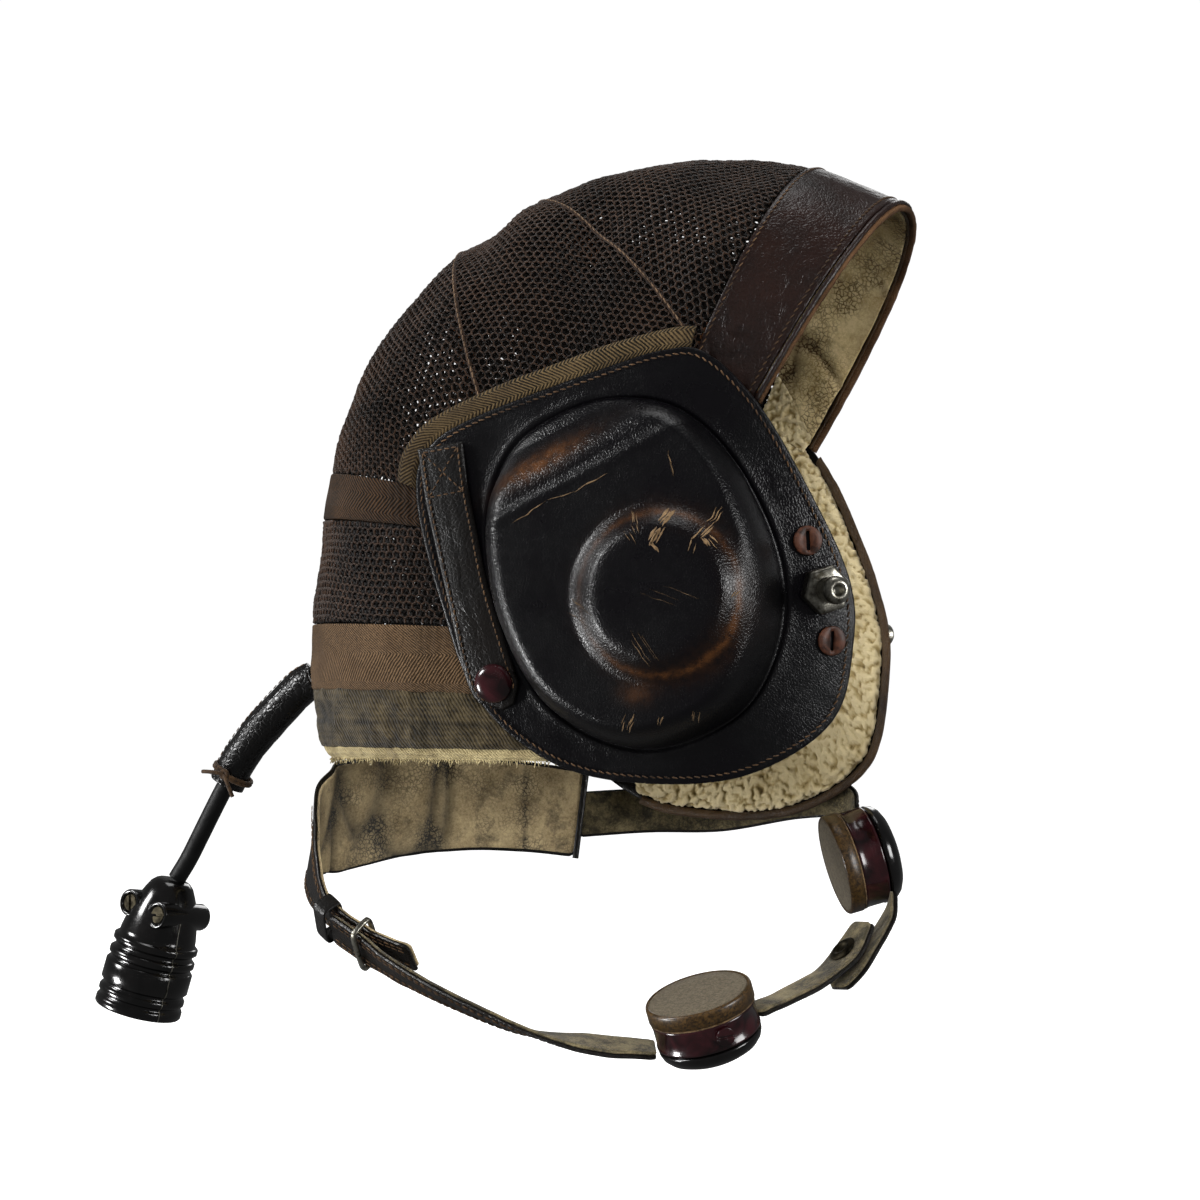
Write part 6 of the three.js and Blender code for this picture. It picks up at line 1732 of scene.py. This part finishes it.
def slottedScrew(name, seat, radius, height, material, slotName, replaced, spin):
    # Cheese head with a straight slot: every point of its top that is nearer the slot's line than half the
    # slot's width is sunk
    flat = np.linspace(0.02, 0.94, 15)
    rings = np.concatenate([flat, [0.98, 1.0, 1.0, 0.98]])[:, None] * radius
    heights = np.concatenate([np.full(len(flat), height), [height - 0.05, height - 0.25, 0.1, 0]])[:, None]
    angle = np.linspace(0, 2 * np.pi, 72, endpoint=False)
    x, y = rings * np.cos(angle), rings * np.sin(angle)
    sunk = (1 - smoothStep(np.abs(y), 0.36, 0.5)) * 0.75 * height
    sunk[len(flat) + 2:] = 0  # the two lowest rings stay as they are
    head = cappedTube(np.stack([x, y, np.maximum(heights - sunk, 0)], axis=-1))
    return makeMesh(name, stoodOn(head, seat, spin), material, slotName, replaced)


makeStraps()
makeBuckle()
for name, mic in mics.items():
    makeMic(name, mic)
socket = [(5.4, 0), (5.6, 0.3), (5.4, 0.9), (4.4, 1.4), (3.6, 1.5), (2.8, 1.4), (2.3, 0.9), (2.2, 0.5),
          (0.4, 0.5)]
middle, along, across, face, half = strapFrame(strapRows["strap_right_front"], np.array([3.0]))
addTurned("snap_socket", socket, 48, (middle[0] + 2.0 * face[0], face[0]), dullBrass, "steel",
          ("strap_snap",))
print("throat loop made")


# Lead: leather sleeve sewn along one side, tie, cable and moulded plug

lead = {"y": 4, "sleeveRadius": 7.2, "sleeveBore": 4.6, "cableRadius": 3.6,
        "sleeve": [(-170.4, -194.1), (-176, -197.1), (-184.5, -205.1), (-193.5, -214.6), (-201.5, -225.1),
                   (-207.5, -235.6)],
        "cable": [(-194.8, -216.7), (-202, -226.1), (-208.2, -236.1), (-213.6, -246.1), (-218.8, -256.1),
                  (-223.8, -265.6), (-228.8, -273.5)],
        "tie": (-205.2, -231.5), "tieAxis": (-0.5, -0.866),
        "plugTop": (-230.2, -274.1), "plugAxis": (-0.279, -0.96)}


def leadPath(pairs, count):
    points = np.array([(x, lead["y"], z) for x, z in pairs], float)
    place = np.linspace(0, len(points) - 1, 200)
    dense = np.stack([curveThrough(points[:, k], place) for k in range(3)], axis=1)
    return evenPath(dense, count)


def makeSleeve():
    # A tube of grained leather: wrinkled where it bends, with its sewn edge as a low fin on the upper side
    path = leadPath(lead["sleeve"], 101)
    along, side, up = pathFrames(path, np.array([0, 1.0, 0]))
    turn = np.linspace(0, 2 * np.pi, 44, endpoint=False)
    out = side[:, None] * np.cos(turn)[:, None] + up[:, None] * np.sin(turn)[:, None]
    radius = lead["sleeveRadius"] - 0.15
    base = path[:, None] + radius * out
    upper = np.sign(up[50, 2])
    fin = bell((np.sin(turn) - upper) / 0.05) * bell(np.cos(turn) / 0.3)
    wrinkle = 1 - np.abs(valueNoise(base, 6.5, 3))
    rise = 0.35 * valueNoise(base, 9, 4) - 0.16 * wrinkle ** 4 + 0.9 * fin
    outer = base + out * rise[..., None]
    inner = path[:, None] + (lead["sleeveBore"] + 0.1) * out
    makeMesh("lead_sleeve_leather", slab(outer, inner, closedV=True), sleeveLeather, "black_leather",
             ("lead_sleeve",))
    line = path + up * (radius + 0.2) * upper - side * 2.6
    makeMesh("sleeve_stitches", stitchRow(line, up * upper, 2.8, 2.2, 0.22, 0.2), linenThread,
             "black_leather")


def makeTie():
    # Waxed cord wound twice round the sleeve's mouth, knotted at the side, with two short ends
    centre = np.array([lead["tie"][0], lead["y"], lead["tie"][1]])
    axis = unit(np.array([lead["tieAxis"][0], 0, lead["tieAxis"][1]]))
    side = np.array([0, -1.0, 0])
    up = np.cross(axis, side)
    turn = np.linspace(0, 4 * np.pi, 160)
    radius = lead["sleeveRadius"] + 0.9
    wound = (centre + (radius * np.cos(turn))[:, None] * side + (radius * np.sin(turn))[:, None] * up
             + np.linspace(-1.0, 1.0, 160)[:, None] * axis)
    shapes = [sweepSection(wound, axis, circleSection(0.85, 8))]
    knot = centre + side * (radius + 0.7)
    for direction in (up * 1.0 + axis * 0.25, -up * 0.9 + axis * 0.5):
        t = np.linspace(0, 1, 20)[:, None]
        end = knot + direction * 8.5 * t + side * 1.2 * np.sin(3 * t) + axis * 1.5 * t ** 2
        shapes.append(sweepSection(end, (0.3, 0.1, 0.9), circleSection(0.8, 8)))
    ball = np.linspace(0, 2 * np.pi, 50, endpoint=False)
    loop = knot + 1.3 * np.cos(ball)[:, None] * up + 1.3 * np.sin(ball)[:, None] * axis
    shapes.append(sweepSection(loop, side, circleSection(0.9, 8), closed=True))
    makeMesh("lead_tie_cord", joinShapes(shapes), darkThread, "tape_brown", ("lead_tie",))


def makeCable():
    points = leadPath(lead["cable"], 24)
    curve = bpy.data.curves.new("lead_flex", "CURVE")
    curve.dimensions = "3D"
    curve.bevel_depth = lead["cableRadius"] * mm
    curve.bevel_resolution = 6
    curve.use_fill_caps = True
    spline = curve.splines.new("POLY")
    spline.points.add(len(points) - 1)
    spline.points.foreach_set("co", np.column_stack([points * mm, np.ones(len(points))]).ravel())
    spline.use_smooth = True
    curve.materials.append(blackRubber)
    cable = addObject("lead_flex", curve)
    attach(cable, "root")
    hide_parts("lead_cable")
    return cable, points


plugRows = namedRows("at radius", [
    (0, 6), (0.5, 7), (2, 8.6), (5, 10.2), (9, 12), (15, 13.8), (22, 15.2), (24.4, 15.4),  # shoulder
    (24.7, 16.2), (25.4, 17), (27.2, 17), (27.9, 16.2), (28.2, 15.6), (30, 15.6),  # first ridge
    (30.3, 16.4), (31, 17.2), (32.8, 17.2), (33.5, 16.4), (33.8, 16), (34.8, 16),  # second ridge
    (35.2, 16.9), (35.9, 17.5), (43.3, 17.5), (44, 16.9), (44.4, 16.2), (45.6, 16.2),  # wide band
    (46, 16.8), (46.7, 17.3), (48.1, 17.3), (48.8, 16.8), (49.1, 16.4), (50.1, 16.4),  # third ridge
    (50.5, 17), (51.2, 17.4), (53.4, 17.4), (54, 16.9),  # rim
])
bosses = {"radius": 5.4, "half": 12.6, "offset": 8.2, "along": 12.5, "turn": 0.38, "recess": 3.9,
          "depth": 1.8}
splitTurn = -1.32  # where the mould's halves meet, as a turn from the screws' side


def makePlug():
    # Moulded body turned round its axis, and two clamping-screw bosses through its shoulder
    top = np.array([lead["plugTop"][0], lead["y"], lead["plugTop"][1]])
    axis = unit(np.array([lead["plugAxis"][0], 0, lead["plugAxis"][1]]))
    profile = [(row["radius"], row["at"]) for row in plugRows]
    shapes = [stoodOn(turnedProfile(profile, 96), (top, axis))]
    out = np.array([0, -1.0, 0])
    out = out * math.cos(bosses["turn"]) + np.cross(axis, out) * math.sin(bosses["turn"])
    aside = unit(np.cross(axis, out))
    pieces = []
    r, h, recess, deep = (bosses[key] for key in ("radius", "half", "recess", "depth"))
    tube = [(0.3, -h), (r - 0.7, -h), (r - 0.2, -h + 0.2), (r, -h + 0.7), (r, h - 0.7), (r - 0.2, h - 0.2),
            (r - 0.6, h), (recess + 0.3, h), (recess, h - 0.3), (recess, h - deep), (0.3, h - deep)]
    for name, offset in (("front", bosses["offset"]), ("rear", -bosses["offset"])):
        middle = top + axis * bosses["along"] + aside * offset
        shapes.append(stoodOn(turnedProfile(tube, 40), (middle, out)))
        pieces.append(slottedScrew("plug_slotted_screw_" + name, (middle + out * (h - deep + 0.15), out), 3.3,
                                   1.1, dullBrass, "steel", ("plug_screw_" + name,), 0.5 + offset / 10))
    plug = makeMesh("plug_moulding", joinShapes(shapes), blackPlastic, "black_plastic", ("plug_body",))
    at = np.linspace(14, 53.6, 90)  # the mould's two halves meet in a thin bright line down the right side
    toLine = out * math.cos(splitTurn) + aside * math.sin(splitTurn)
    radius = np.interp(at, tableColumn(plugRows, "at"), tableColumn(plugRows, "radius")) + 0.02
    line = top + axis * at[:, None] + toLine * radius[:, None]
    line += 0.2 * np.stack([valueNoise(line, 3, k) for k in (1, 2, 3)], axis=1)
    split = sweepSection(line, out, circleSection(0.28, 6))
    return [plug, *pieces, makeMesh("plug_split_line", split, nickelPlate, "black_plastic")]


makeSleeve()
makeTie()
plugPieces = makePlug()
cable, cablePoints = makeCable()
float(pathLength(cablePoints)[-1] * mm)
print("lead made")


triangles = sum(len(p.vertices) - 2 for thing in bpy.data.objects if thing.type == "MESH"
                and not thing.hide_render for p in thing.data.polygons)
print("triangles in all:", triangles)
